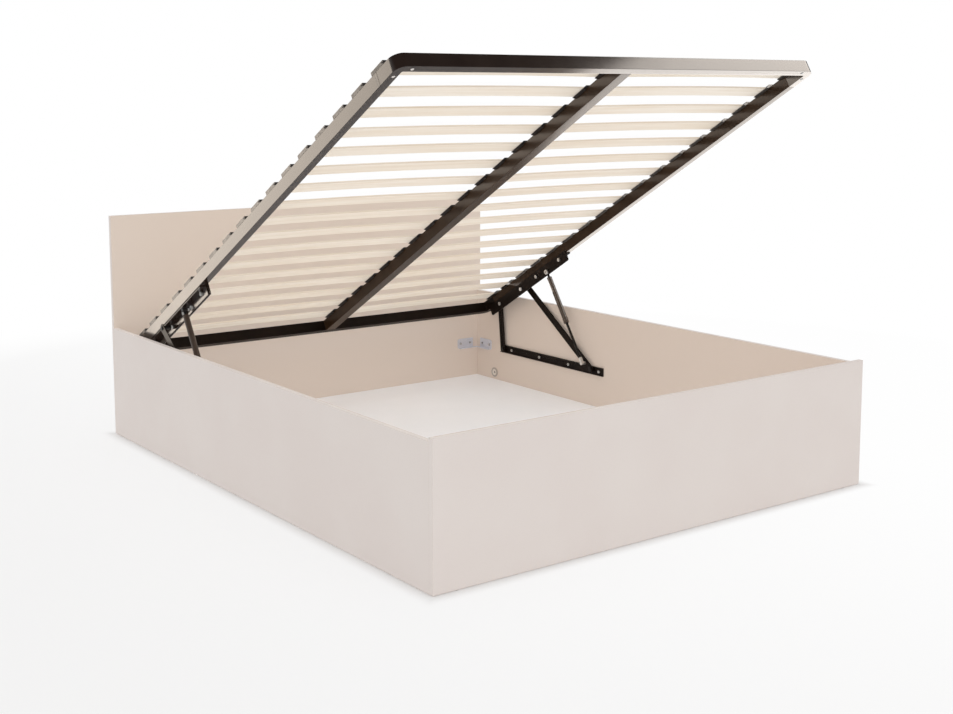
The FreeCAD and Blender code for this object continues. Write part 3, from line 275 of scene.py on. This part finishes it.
def slat_wood():
    """Pale birch plywood: grain along each slat, its own tone per slat, ply lines on the edges."""
    look = Finish("slat_wood", placed=True, Specular_IOR_Level=0.2)
    across, along, _ = look.axes()
    number = look.math("DIVIDE", look.math("SUBTRACT", along, SLAT_START), SLAT_PITCH)
    column = look.math("GREATER_THAN", across, 0.0)
    inputs = {0: look.math("FLOOR", number), 1: column, 2: 3.0}
    key = look.node("ShaderNodeCombineXYZ", inputs).outputs[0]
    tone = look.node("ShaderNodeTexWhiteNoise", {"Vector": key}, noise_dimensions="3D").outputs["Value"]
    shifted = look.node("ShaderNodeVectorMath", {0: look.place, 1: key}, operation="ADD").outputs[0]
    figure = look.noise(1.0, detail=5.0, rough=0.62, place=look.stretched((2.4, 62.0, 62.0), shifted))
    pores = look.noise(1.0, detail=2.0, place=look.stretched((22.0, 900.0, 900.0), shifted))
    streaks = look.noise(1.0, rough=0.55, place=look.stretched((1.6, 24.0, 24.0), shifted))
    plies = look.node(
        "ShaderNodeTexWave",
        {"Vector": look.place, "Scale": 98.0, "Distortion": 0.4, "Detail": 1.0},
        bands_direction="Z",
    ).outputs["Fac"]
    edgeways = look.facing((0.0, math.cos(BASE_TILT), math.sin(BASE_TILT)))
    on_edge = look.span(look.math("ABSOLUTE", edgeways), 0.75, 0.95)
    cut_edge = look.math("MULTIPLY", on_edge, look.span(plies, 0.35, 0.65, 0.05, 0.4))
    tint = look.mix(look.span(figure, 0.28, 0.74), colour(241, 234, 223), colour(230, 219, 203))
    tint = look.mix(look.span(streaks, 0.56, 0.76, 0.0, 0.4), tint, colour(221, 201, 170))
    tint = look.mix(look.math("MULTIPLY", tone, 0.35), tint, colour(226, 212, 193))
    tint = look.mix(look.span(pores, 0.58, 0.86, 0.0, 0.22), tint, colour(203, 179, 146))
    look.paint(look.mix(cut_edge, tint, colour(196, 166, 128)))
    look.gloss(look.spread(figure, 0.44, 0.56))
    grain = look.math("ADD", figure, look.math("MULTIPLY", pores, 0.5))
    look.relief(grain, depth=0.00025, strength=0.4)
    return look.material


# Metal finishes

# Panel connectors: their middle along and up, and the fades of the key socket, painted dark as shade, and of
# the dark rim
CONNECTOR_ALONG, CONNECTOR_HEIGHT = 0.875, 0.051
SOCKET_SHADE_FADE, RIM_FADE = (0.0044, 0.0056), (0.0122, 0.0142)
# Distance over which a pin turns black
BLACKEN_FADE = 0.001


def coated_steel(name, dark, light, rough, placed=True, **constants):
    """Powder-coated steel: a fine orange-peel skin, uneven gloss and small rubbed spots."""
    look = Finish(name, placed, **constants)
    patches = look.spread(look.noise(9.0, rough=0.55))
    rubs = look.span(look.noise(70.0, detail=4.0, rough=0.7), 0.68, 0.84, 0.0, 0.04)
    look.paint(look.mix(rubs, look.mix(patches, dark, light), colour(110, 95, 84)))
    look.gloss(look.spread(look.noise(14.0, detail=2.0), rough - 0.01, rough + 0.015))
    look.relief(look.noise(650.0, detail=2.0), depth=0.00001, strength=0.1)
    return look.material


def zinc(name, low, high, rough, dark_beyond=None, sockets=False, **constants):
    """Zinc-plated steel: small crystals of differing brightness and brushed gloss.

    Beyond a distance from the bed's middle it may be blackened, and it may show round key sockets painted
    dark as their shade.
    """
    look = Finish(name, **constants)
    crystals = look.node("ShaderNodeTexVoronoi", {"Vector": look.place, "Scale": 480.0})
    shade = look.node("ShaderNodeSeparateColor", {0: crystals.outputs["Color"]}).outputs[0]
    tint = look.mix(shade, low, high)
    across, along, up = look.axes()
    if dark_beyond:
        outer = look.span(look.math("ABSOLUTE", across), dark_beyond, dark_beyond + BLACKEN_FADE)
        tint = look.mix(outer, tint, colour(30, 26, 24))
    if sockets:
        forward = look.math("SUBTRACT", look.math("ABSOLUTE", along), CONNECTOR_ALONG)
        raised = look.math("SUBTRACT", up, CONNECTOR_HEIGHT)
        reach = look.length(look.node("ShaderNodeCombineXYZ", {0: forward, 1: raised}).outputs[0])
        # Painted shade: the key socket is a dark disc
        tint = look.mix(look.span(reach, *SOCKET_SHADE_FADE, 1.0, 0.0), tint, colour(48, 43, 40))
        tint = look.mix(look.span(reach, *RIM_FADE, 0.0, 0.6), tint, colour(122, 110, 100))
    look.paint(tint)
    look.gloss(look.span(shade, 0.0, 1.0, rough - 0.08, rough + 0.1))
    look.relief(look.noise(1500.0, detail=2.0), depth=0.00006, strength=0.3)
    return look.material


def rod_steel():
    """Hardened gas-spring rod: dark, ground round, with faint rings along its length."""
    look = Finish("rod_steel", Metallic=0.85)
    rings = look.noise(1.0, rough=0.6, place=look.stretched((300.0, 2600.0, 1700.0)))
    look.paint(look.mix(look.spread(rings), colour(38, 36, 35), colour(62, 59, 57)))
    look.gloss(look.spread(rings, 0.18, 0.3))
    look.relief(rings, depth=0.00004, strength=0.3)
    return look.material


# Plastic finishes

def moulded(name, dark, light, rough, placed=True):
    """Moulded plastic: an eroded fine skin, flow marks and a slightly uneven sheen."""
    look = Finish(name, placed, Specular_IOR_Level=0.5)
    flow = look.noise(1.0, rough=0.6, place=look.stretched((30.0, 75.0, 75.0)))
    look.paint(look.mix(look.spread(flow), dark, light))
    look.gloss(look.spread(look.noise(160.0, rough=0.6), rough - 0.06, rough + 0.08))
    look.relief(look.noise(1800.0, detail=2.0, rough=0.6), depth=0.0001, strength=0.4)
    return look.material


# Finishes on the CAD pieces

def dress(material, *names):
    for name in names:
        nodes[name].data.materials.clear()
        nodes[name].data.materials.append(material)


def both(*stems):
    """The left and right node of each pair."""
    return [f"{stem}_{side}" for stem in stems for side in SIDES]


SHEETS = ("storage_floor_front", "storage_floor_rear")
# Painted light and shade: the left bars and links take the lighter, glossier frame steel, their right twins
# the darkened steel
LIT_COPY_LEFT = ("mount_angle_left", "upper_bar_left", "rear_link_left")
SHADED_COPY_RIGHT = ("mount_angle_right", "upper_bar_right", "rear_link_right")
# Distance from the bed's middle beyond which the pins are black
PINS_DARK_BEYOND = 0.77
BRIGHT_ZINC = (colour(222, 221, 219), colour(242, 241, 238))

# Lit and shaded copies of one powder coat, as painted light and shade: frame steel is the lit, glossiest
# copy, bar steel a duller copy, and the darkest is darkened as painted shade
frame_steel = coated_steel("frame_steel", colour(31, 21, 17), colour(37, 27, 22), 0.17, IOR=1.4)
bar_steel = coated_steel("bar_steel", colour(44, 30, 19), colour(51, 36, 24), 0.22, IOR=1.2)
mechanism_steel = coated_steel(
    "mechanism_steel", colour(18, 11, 7), colour(25, 16, 11), 0.4, Specular_IOR_Level=0.12
)
gas_black = coated_steel("gas_black", colour(58, 46, 39), colour(68, 56, 48), 0.24, placed=False, IOR=1.5)
zinc_steel = zinc("zinc_steel", *BRIGHT_ZINC, 0.36, Metallic=1.0)
pin_steel = zinc("pin_steel", *BRIGHT_ZINC, 0.36, dark_beyond=PINS_DARK_BEYOND, Metallic=0.4)
connector_zinc = zinc(
    "connector_zinc", colour(220, 211, 203), colour(238, 231, 223), 0.45, sockets=True, Metallic=0.1
)
bracket_zinc = zinc("bracket_zinc", colour(206, 207, 216), colour(222, 223, 231), 0.42, Metallic=0.3)
dark_zinc = zinc("dark_zinc", colour(66, 62, 66), colour(92, 88, 92), 0.4, Metallic=0.6)
# Darker zinc for the faces of the key recesses: painted shade
recess_zinc = zinc("recess_zinc", colour(112, 108, 106), colour(136, 132, 130), 0.45, Metallic=0.5)
holder_plastic = moulded("holder_plastic", colour(26, 21, 19), colour(36, 30, 27), 0.42)
# Near-black plastic of the holder pegs: painted shade, standing in for the dark of a hole at each holder's
# end
peg_plastic = moulded("peg_plastic", colour(18, 16, 15), colour(27, 24, 22), 0.4)
glide_plastic = moulded("glide_plastic", colour(196, 190, 184), colour(212, 206, 200), 0.5, placed=False)

for board, inward in INWARD.items():
    dress(laminate(board, inward), board)
for sheet in SHEETS:
    dress(white_sheet(sheet), sheet)
dress(chipboard(), "floor_battens")
dress(dowel_wood(), "panel_dowels")
dress(slat_wood(), *both("slats"))
# Painted light and shade on the frame: the left rail and left bars take the lit copy, the right rail and
# centre bar the duller copy, the head rail, right bars, lower bars and front links the darkened copy
dress(frame_steel, "foot_rail", "side_rail_left", *LIT_COPY_LEFT)
dress(bar_steel, "centre_bar", "side_rail_right")
dress(mechanism_steel, "head_rail", *SHADED_COPY_RIGHT, *both("lower_bar", "front_link"))
dress(gas_black, *both("gas_cylinder"))
dress(rod_steel(), *both("gas_rod"))
dress(zinc_steel, "connector_bolts", "foot_rests", "foot_rest_screws", "lower_bar_screws", "upper_bar_bolts")
dress(zinc_steel, "upper_bar_nuts", "rail_plugs", *both("gas_stud", "gas_lower_eye"))
dress(pin_steel, "rear_pivot_pins", "front_pivot_pins", "front_link_pins")
dress(pin_steel, *both("rear_link_pin", "gas_upper_eye", "gas_top_pin"))
dress(connector_zinc, "panel_connectors")
dress(bracket_zinc, "corner_brackets")
dress(dark_zinc, "corner_bracket_screws")
dress(holder_plastic, "centre_holders", *both("rail_holders"))
dress(peg_plastic, "holder_pegs")
dress(glide_plastic, "glides")


# Eased edges of the CAD pieces

# Gap that a seam is closed over, and the least angle of an edge that is eased
SEAM_GAP = 0.000004
EASED_ANGLE = math.radians(40)
# Widths of the eased edges
BOARD_EASE, SHEET_EASE, SLAT_EASE, TUBE_EASE, PLATE_EASE = 0.0012, 0.0006, 0.0015, 0.0008, 0.0005
TUBES = ("centre_bar", "foot_rail", "head_rail", *both("side_rail"))
PLATES = ("corner_brackets", "foot_rests", *both("upper_bar", "mount_angle", "front_link", "rear_link"))


def round_edges(width, *names):
    """Weld the seams of nodes, ease their hard edges and smooth their shading."""
    for name in names:
        weld = nodes[name].modifiers.new("weld", "WELD")
        weld.merge_threshold = SEAM_GAP
        ease = nodes[name].modifiers.new("ease", "BEVEL")
        ease.width = width
        ease.segments = 2
        ease.limit_method = "ANGLE"
        ease.angle_limit = EASED_ANGLE
        shade = nodes[name].modifiers.new("shade", "WEIGHTED_NORMAL")
        shade.keep_sharp = False


round_edges(BOARD_EASE, *INWARD)
round_edges(SHEET_EASE, *SHEETS, *both("lower_bar"))
round_edges(SLAT_EASE, *both("slats"))
round_edges(TUBE_EASE, *TUBES, "centre_holders", *both("rail_holders"))
round_edges(PLATE_EASE, *PLATES)


# Small fittings

# Points in a ring, and how many of them turn one corner
ROUND_STEPS = 48
CORNER_STEPS = ROUND_STEPS // 4
# Half the width of a cross recess's arm as a share of its reach, and a guard against division by zero
ARM_SHARE, NEAR_ZERO = 0.3, 1e-6


def add_piece(name, body, slot, form, *finishes):
    """Turn a form into a piece that rides on a body; the slot argument is not used."""
    mesh = bpy.data.meshes.new(name)
    bmesh.ops.recalc_face_normals(form, faces=form.faces)
    form.to_mesh(mesh)
    form.free()
    piece = bpy.data.objects.new(name, mesh)
    for finish in finishes:
        mesh.materials.append(finish)
    scene.collection.objects.link(piece)
    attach(piece, body)


def loop(form, centre, turn, reach, lift=0.0):
    """A ring of points round a centre; reach gives its radius at each angle."""
    angles = [2 * math.pi * step / ROUND_STEPS for step in range(ROUND_STEPS)]
    return [
        form.verts.new(centre + turn @ Vector((reach(a) * math.cos(a), reach(a) * math.sin(a), lift)))
        for a in angles
    ]


def round_reach(radius):
    """Outline of a circle."""
    return lambda angle: radius


def cross_reach(size):
    """Outline of a cross recess whose arms reach the given size."""
    half = ARM_SHARE * size

    def reach(angle):
        level, upright = abs(math.cos(angle)) + NEAR_ZERO, abs(math.sin(angle)) + NEAR_ZERO
        return max(min(size / level, half / upright), min(size / upright, half / level))
    return reach


def hexagon_reach(size):
    """Outline of a hexagon socket of the given inner radius."""
    return lambda angle: size / math.cos(angle % (math.pi / 3) - math.pi / 6)


def scaled_reach(reach, share):
    """An outline made smaller by a share."""
    return lambda angle: reach(angle) * share


def skin(form, loops, closed=False):
    """Faces between each ring and the next."""
    made = []
    following = loops[1:] + loops[:1] if closed else loops[1:]
    for low, high in zip(loops, following):
        strip = []
        for step in range(ROUND_STEPS):
            after = (step + 1) % ROUND_STEPS
            strip.append(form.faces.new((low[step], low[after], high[after], high[step])))
            strip[-1].smooth = True
        made.append(strip)
    return made


# Rings of a screw top as shares of its radius and rise, and of its recess as shares of the recess and rise
TOP_PROFILE = ((0.99, -0.05), (0.97, 0.5), (0.86, 0.82), (0.68, 1.0))
RECESS_PROFILE = ((1.0, 1.0), (0.84, 0.1))


def screw_tops(name, body, spots, radius, rise, recess):
    """Rounded tops on flat screw heads, each with a key recess whose faces are painted darker as shade."""
    form = bmesh.new()
    for centre, outward in spots:
        centre = Vector(centre)
        turn = Vector(outward).to_track_quat("Z", "Y").to_matrix()
        loops = [
            loop(form, centre, turn, round_reach(radius * share), rise * lift)
            for share, lift in TOP_PROFILE
        ]
        for share, lift in RECESS_PROFILE:
            loops.append(loop(form, centre, turn, scaled_reach(recess, share), rise * lift))
        recess_wall = skin(form, loops)[-1]
        form.faces.new(loops[0])
        for face in recess_wall + [form.faces.new(loops[-1])]:
            face.material_index = 1
            face.smooth = False
    add_piece(name, body, "zinc_steel", form, zinc_steel, recess_zinc)


# Heads on the lower bars: their plane across and height, the place of the first along, spacing and number
LOWER_HEAD_PLANE, LOWER_HEAD_HEIGHT = 0.8035, 0.164
LOWER_HEAD_START, LOWER_HEAD_PITCH, LOWER_HEAD_COUNT = 0.752, 0.1825, 4
# Inside of the box across and along; bracket heads: their planes, height and distances from the corner
INSIDE_ACROSS, INSIDE_ALONG = 0.81, 1.002
BRACKET_PLANE_ACROSS, BRACKET_PLANE_ALONG, BRACKET_HEIGHT = 0.805, 0.997, 0.165
BRACKET_HEADS = (0.04, 0.09)
# Heads on the foot rests: middle of each rest, distance of a head from it, plane along and height
REST_ACROSS, REST_HEAD, REST_PLANE, REST_HEIGHT = 0.33, 0.015, -0.997, 0.258
# Heads on the upper bars, on the level base: their plane across, and their places along and up
UPPER_HEAD_PLANE = 0.752
BOLTS = ((1.411, -0.011), (1.574, -0.011), (1.851, -0.011))
WIDE_BOLT = (1.505, -0.021)
# Radius and rise of each kind of top, and the reach of its recess
BAR_TOP, SMALL_TOP, BOLT_TOP, WIDE_TOP = (0.0055, 0.0012), (0.0045, 0.001), (0.007, 0.0016), (0.01, 0.0022)
CROSS, BOLT_SOCKET, WIDE_SOCKET = cross_reach(0.0026), hexagon_reach(0.0021), hexagon_reach(0.0028)

lower_spots, bracket_spots, bolt_spots, wide_spots = [], [], [], []
for side in SIDES.values():
    inner = (-side, 0, 0)
    for number in range(LOWER_HEAD_COUNT):
        along = LOWER_HEAD_START - LOWER_HEAD_PITCH * number
        lower_spots.append(((side * LOWER_HEAD_PLANE, along, LOWER_HEAD_HEIGHT), inner))
    for end in (-1, 1):
        for reach in BRACKET_HEADS:
            on_side = (side * BRACKET_PLANE_ACROSS, end * (INSIDE_ALONG - reach), BRACKET_HEIGHT)
            on_end = (side * (INSIDE_ACROSS - reach), end * BRACKET_PLANE_ALONG, BRACKET_HEIGHT)
            bracket_spots += [(on_side, inner), (on_end, (0, -end, 0))]
    for place in BOLTS:
        bolt_spots.append((on_base(side * UPPER_HEAD_PLANE, *place), inner))
    wide_spots.append((on_base(side * UPPER_HEAD_PLANE, *WIDE_BOLT), inner))
rest_spots = [
    ((across + shift, REST_PLANE, REST_HEIGHT), INWARD["footboard"])
    for across in (-REST_ACROSS, REST_ACROSS)
    for shift in (-REST_HEAD, REST_HEAD)
]
screw_tops("lower_bar_screw_tops", "box", lower_spots, *BAR_TOP, CROSS)
screw_tops("bracket_screw_tops", "box", bracket_spots, *SMALL_TOP, CROSS)
screw_tops("rest_screw_tops", "box", rest_spots, *SMALL_TOP, CROSS)
screw_tops("bolt_tops", "lift_base", bolt_spots, *BOLT_TOP, BOLT_SOCKET)
screw_tops("wide_bolt_tops", "lift_base", wide_spots, *WIDE_TOP, WIDE_SOCKET)

# Gas springs: their lower and upper ends, and their plane across
GAS_FOOT, GAS_TOP = Vector((0.0, 0.275008, 0.189265)), Vector((0.0, 0.492207, 0.521292))
GAS_PLANE = 0.782
# Collar round the lower end of each gas tube and cap at its upper end: distance from the foot, and radius
COLLAR = (
    (0.1746, 0.0056), (0.1746, 0.0098), (0.1758, 0.0108),
    (0.1945, 0.0108), (0.1957, 0.0103), (0.1957, 0.0099),
)
CAP = ((0.37, 0.0099), (0.3706, 0.0104), (0.3756, 0.0104), (0.3772, 0.0092), (0.3778, 0.0048))
gas_turn = (GAS_TOP - GAS_FOOT).to_track_quat("Z", "Y").to_matrix()
for name, side in SIDES.items():
    start = GAS_FOOT + Vector((side * GAS_PLANE, 0, 0))
    for label, profile in (("gas_collar_", COLLAR), ("gas_cap_", CAP)):
        form = bmesh.new()
        rings = [loop(form, start, gas_turn, round_reach(radius), lift) for lift, radius in profile]
        skin(form, rings, closed=True)
        add_piece(label + name, "gas_cylinder_" + name, "gas_black", form, gas_black)

# Weld beads where the centre bar meets the rails, on the level base: half the bar's width, its two ends, and
# the heights between which a bead runs; then a bead's radius, its ring spacing, lumps and lesser ends
BAR_HALF, BAR_ENDS, BEAD_HEIGHTS = 0.02, (0.027, 1.959), (0.003, 0.038)
BEAD_RADIUS, BEAD_STEP = 0.0012, 0.0011
LUMP_LOW, LUMP_RISE, LUMP_TURN = 0.8, 0.2, 0.85
BEAD_END = 0.5


def weld_bead(form, start, end):
    """A lumpy weld bead, half sunk into a seam of the base frame."""
    turn = (end - start).to_track_quat("Z", "Y").to_matrix()
    steps = round((end - start).length / BEAD_STEP)
    loops = []
    for step in range(steps + 1):
        swell = BEAD_RADIUS * (LUMP_LOW + LUMP_RISE * abs(math.sin(LUMP_TURN * step)))
        swell *= BEAD_END if step in (0, steps) else 1.0
        loops.append(loop(form, start.lerp(end, step / steps), turn, round_reach(swell)))
    skin(form, loops)
    form.faces.new(loops[0])
    form.faces.new(loops[-1])


form = bmesh.new()
for side in SIDES.values():
    for along in BAR_ENDS:
        weld_bead(form, *(on_base(side * BAR_HALF, along, up) for up in BEAD_HEIGHTS))
add_piece("bar_welds", "lift_base", "frame_steel", form, bar_steel)

# Side tubes of the level base: their middle across, half their width and height, and their corner radius
TUBE_PLANE, TUBE_HALF, TUBE_ROUND = 0.7765, (0.0135, 0.02), 0.0008
TUBE_CORNERS = ((1, 1), (-1, 1), (-1, -1), (1, -1))
# Ground welds: the seams along the base, and the ridge's shape as distance from the seam and rise
WELD_SEAMS = {"foot": 0.1, "head": 1.886}
RIDGE = (
    (-0.007, -0.00003), (-0.004, 0.00003), (-0.0015, 0.00007),
    (0.0015, 0.00007), (0.004, 0.00003), (0.007, -0.00003),
)


def tube_ring(form, across, along, proud):
    """A ring of points round the side tube of the base, a little proud of its faces."""
    ring = []
    reach = TUBE_ROUND + proud
    for corner, (right, top) in enumerate(TUBE_CORNERS):
        for step in range(CORNER_STEPS):
            angle = math.pi / 2 * (corner + step / (CORNER_STEPS - 1))
            ring.append(form.verts.new(on_base(
                across + right * (TUBE_HALF[0] - TUBE_ROUND) + reach * math.cos(angle),
                along,
                TUBE_HALF[1] + top * (TUBE_HALF[1] - TUBE_ROUND) + reach * math.sin(angle),
            )))
    return ring


for name, side in SIDES.items():
    # Painted light and shade: the left welds take the lit frame steel, the right ones the duller bar steel,
    # as their rails do
    finish = frame_steel if name == "left" else bar_steel
    for label, seam in WELD_SEAMS.items():
        form = bmesh.new()
        rings = [tube_ring(form, side * TUBE_PLANE, seam + shift, proud) for shift, proud in RIDGE]
        skin(form, rings, closed=True)
        add_piece(f"{label}_weld_{name}", "lift_base", "frame_steel", form, finish)


# Floor and background

WHITE = (1.0, 1.0, 1.0, 1.0)
FLOOR_TINT = (0.9, 0.9, 0.9, 1.0)
# Half the floor's size, and how far it lies below the bed's feet
FLOOR_HALF, FLOOR_DROP = 30.0, 0.0005
# Half the box's width and length, and the strip round it that keeps the whole shadow
FOOTPRINT, CONTACT_FADE = (0.826, 1.018), (-0.01, 0.05)
# White shares of the floor near the bed, from one place on the left to one on the right: painted light, a
# white glow that grows to the right so the floor's shade shows more on the left
NEAR_ACROSS, NEAR_WHITE = (-2.2, 1.3), (0.56, 0.97)
# Distances from the bed's middle between which the floor turns white
FAR_FADE = (1.3, 3.4)


def floor_finish():
    """A white floor that keeps the soft shadow and runs out to a white background."""
    look = Finish("studio_floor", Roughness=0.9, Specular_IOR_Level=0.0, Base_Color=FLOOR_TINT)
    ray = look.node("ShaderNodeLightPath").outputs
    across, along, _ = look.axes()
    aside = look.math("SUBTRACT", look.math("ABSOLUTE", across), FOOTPRINT[0])
    beyond = look.math("SUBTRACT", look.math("ABSOLUTE", along), FOOTPRINT[1])
    clear = look.span(look.math("MAXIMUM", aside, beyond), *CONTACT_FADE)
    # Painted light: the floor's white glow near the bed is weaker on the left and stronger on the right
    near = look.math("MULTIPLY", clear, look.span(across, *NEAR_ACROSS, *NEAR_WHITE))
    share = look.math("MAXIMUM", near, look.span(look.length(look.place), *FAR_FADE))
    share = look.math("MULTIPLY", ray["Is Camera Ray"], share)
    mirrored = look.math("MAXIMUM", ray["Is Glossy Ray"], ray["Is Transmission Ray"])
    share = look.math("MAXIMUM", share, mirrored)
    glow = look.node("ShaderNodeEmission", {"Color": WHITE, "Strength": 1.0}).outputs[0]
    surface = look.blend(share, look.shader.outputs[0], glow)
    look.join(surface, look.tree.nodes["Material Output"].inputs["Surface"])
    return look.material


mesh = bpy.data.meshes.new("studio_floor")
form = bmesh.new()
bmesh.ops.create_grid(form, x_segments=8, y_segments=8, size=FLOOR_HALF)
form.to_mesh(mesh)
form.free()
floor = bpy.data.objects.new("studio_floor", mesh)
floor.location.z = -FLOOR_DROP
mesh.materials.append(floor_finish())
scene.collection.objects.link(floor)

# The world is white to the eye, an even dome to matt surfaces, and to glossy ones a horizon that dims upward
DOME_TINT, DOME_STRENGTH = (1.0, 0.99, 0.985, 1.0), 0.63
HORIZON_RISE, HORIZON_STRENGTH = (0.12, 0.45), (1.0, 0.1)
scene.world = bpy.data.worlds.new("studio")
scene.world.use_nodes = True
sky = Graph(scene.world.node_tree)
ray = sky.node("ShaderNodeLightPath").outputs
dome = sky.node("ShaderNodeBackground", {"Color": DOME_TINT, "Strength": DOME_STRENGTH}).outputs[0]
white = sky.node("ShaderNodeBackground", {"Color": WHITE, "Strength": 1.0}).outputs[0]
direction = sky.node("ShaderNodeTexCoord").outputs["Generated"]
upward = sky.node("ShaderNodeSeparateXYZ", {0: direction}).outputs[2]
dimming = sky.span(upward, *HORIZON_RISE, *HORIZON_STRENGTH)
horizon = sky.node("ShaderNodeBackground", {"Strength": dimming}).outputs[0]
seen = sky.math("MAXIMUM", ray["Is Camera Ray"], ray["Is Transmission Ray"])
lit = sky.blend(seen, sky.blend(ray["Is Glossy Ray"], dome, horizon), white)
sky.join(lit, sky.tree.nodes["World Output"].inputs["Surface"])


# Lamps

# Heading and strength of each fill: light from every side that reaches into the box
FILLS = {
    "fill_front": ((0.0, 1.0, 0.0), 0.38),
    "fill_back": ((0.0, -1.0, 0.0), 0.66),
    "fill_left": ((1.0, 0.0, 0.0), 0.28),
    "fill_right": ((-1.0, 0.0, 0.0), 0.5),
    "fill_top": ((0.0, 0.0, -1.0), 0.5),
    "fill_below": ((0.0, 0.0, 1.0), 0.8),
}
# Heading and strength of each lamp that casts soft shadows, and how wide they are
SOFT_LAMPS = {
    "soft_top": ((0.0, 0.0, -1.0), 0.5),
    "soft_front": ((0.0, 1.0, -0.25), 0.42),
    "soft_left": ((1.0, 0.0, -0.25), 0.3),
}
SOFT_ANGLE = math.radians(80)
# Place, heading, size, glow and tint of each card: on the left, and on the right low down and high up
CARDS = {
    "left_card": ((-1.55, 1.45, 0.76), (1.0, 0.0, 0.0), (2.7, 1.48), 5.3, (1.0, 0.865, 0.72)),
    "right_floor_card": ((1.72, -0.05, 0.45), (0.0, 0.0, 1.0), (2.1, 1.7), 4.8, (1.0, 0.93, 0.86)),
    "right_high_card": ((2.31, -1.46, 2.5), (-0.73, 0.32, -0.6), (1.35, 1.35), 10.5, (1.0, 0.92, 0.84)),
}
# Pieces in which the cards show, besides those of frame steel and bar steel
CARD_PIECES = [*both("rail_holders", "front_link"), "gas_cylinder_right", "gas_collar_right", "gas_cap_right"]


def lamp(name, kind, heading, energy, tint=(1.0, 1.0, 1.0)):
    """A lamp that shines along a heading and isn't seen itself."""
    light = bpy.data.lights.new(name, kind)
    light.energy = energy
    light.color = tint
    holder = bpy.data.objects.new(name, light)
    holder.rotation_mode = "QUATERNION"
    holder.rotation_quaternion = Vector(heading).to_track_quat("-Z", "Y")
    holder.visible_camera = False
    scene.collection.objects.link(holder)
    return holder


# The fills light the bed alone, and the cards the painted steel alone
bed = bpy.data.collections.new("bed")
painted = bpy.data.collections.new("painted_steel")
for piece in scene.objects:
    if piece.type == "MESH" and piece is not floor:
        bed.objects.link(piece)
        if piece.name in CARD_PIECES or piece.data.materials[0] in (frame_steel, bar_steel):
            painted.objects.link(piece)
for name, (heading, energy) in FILLS.items():
    fill = lamp(name, "SUN", heading, energy)
    fill.data.use_shadow = False
    fill.visible_glossy = False
    fill.light_linking.receiver_collection = bed
for name, (heading, energy) in SOFT_LAMPS.items():
    soft = lamp(name, "SUN", heading, energy)
    soft.data.angle = SOFT_ANGLE
    soft.visible_glossy = False
for name, (place, heading, (width, height), glow, tint) in CARDS.items():
    card = lamp(name, "AREA", heading, glow * math.pi * width * height, tint)
    card.location = place
    card.data.shape = "RECTANGLE"
    card.data.size, card.data.size_y = width, height
    card.visible_diffuse = False
    card.light_linking.receiver_collection = painted


# Camera at the photograph's angle: the frame's width and the focal length in its pixels, then place and aim
FRAME_WIDTH, FOCAL_LENGTH, SENSOR_WIDTH = 953.0, 1370.5, 36.0
CAMERA_SHIFT = -0.1
CAMERA_PLACE = (-2.6842, -3.7067, 1.2444)
CAMERA_YAW, CAMERA_PITCH = math.radians(36.549), math.radians(-7.102)
lens = bpy.data.cameras.new("photo_camera")
lens.sensor_width = SENSOR_WIDTH
lens.lens = FOCAL_LENGTH / FRAME_WIDTH * SENSOR_WIDTH
lens.shift_y = CAMERA_SHIFT
camera = bpy.data.objects.new("photo_camera", lens)
ahead = Vector((
    math.sin(CAMERA_YAW) * math.cos(CAMERA_PITCH),
    math.cos(CAMERA_YAW) * math.cos(CAMERA_PITCH),
    math.sin(CAMERA_PITCH),
))
camera.location = CAMERA_PLACE
camera.rotation_mode = "QUATERNION"
camera.rotation_quaternion = ahead.to_track_quat("-Z", "Y")
scene.collection.objects.link(camera)
scene.camera = camera
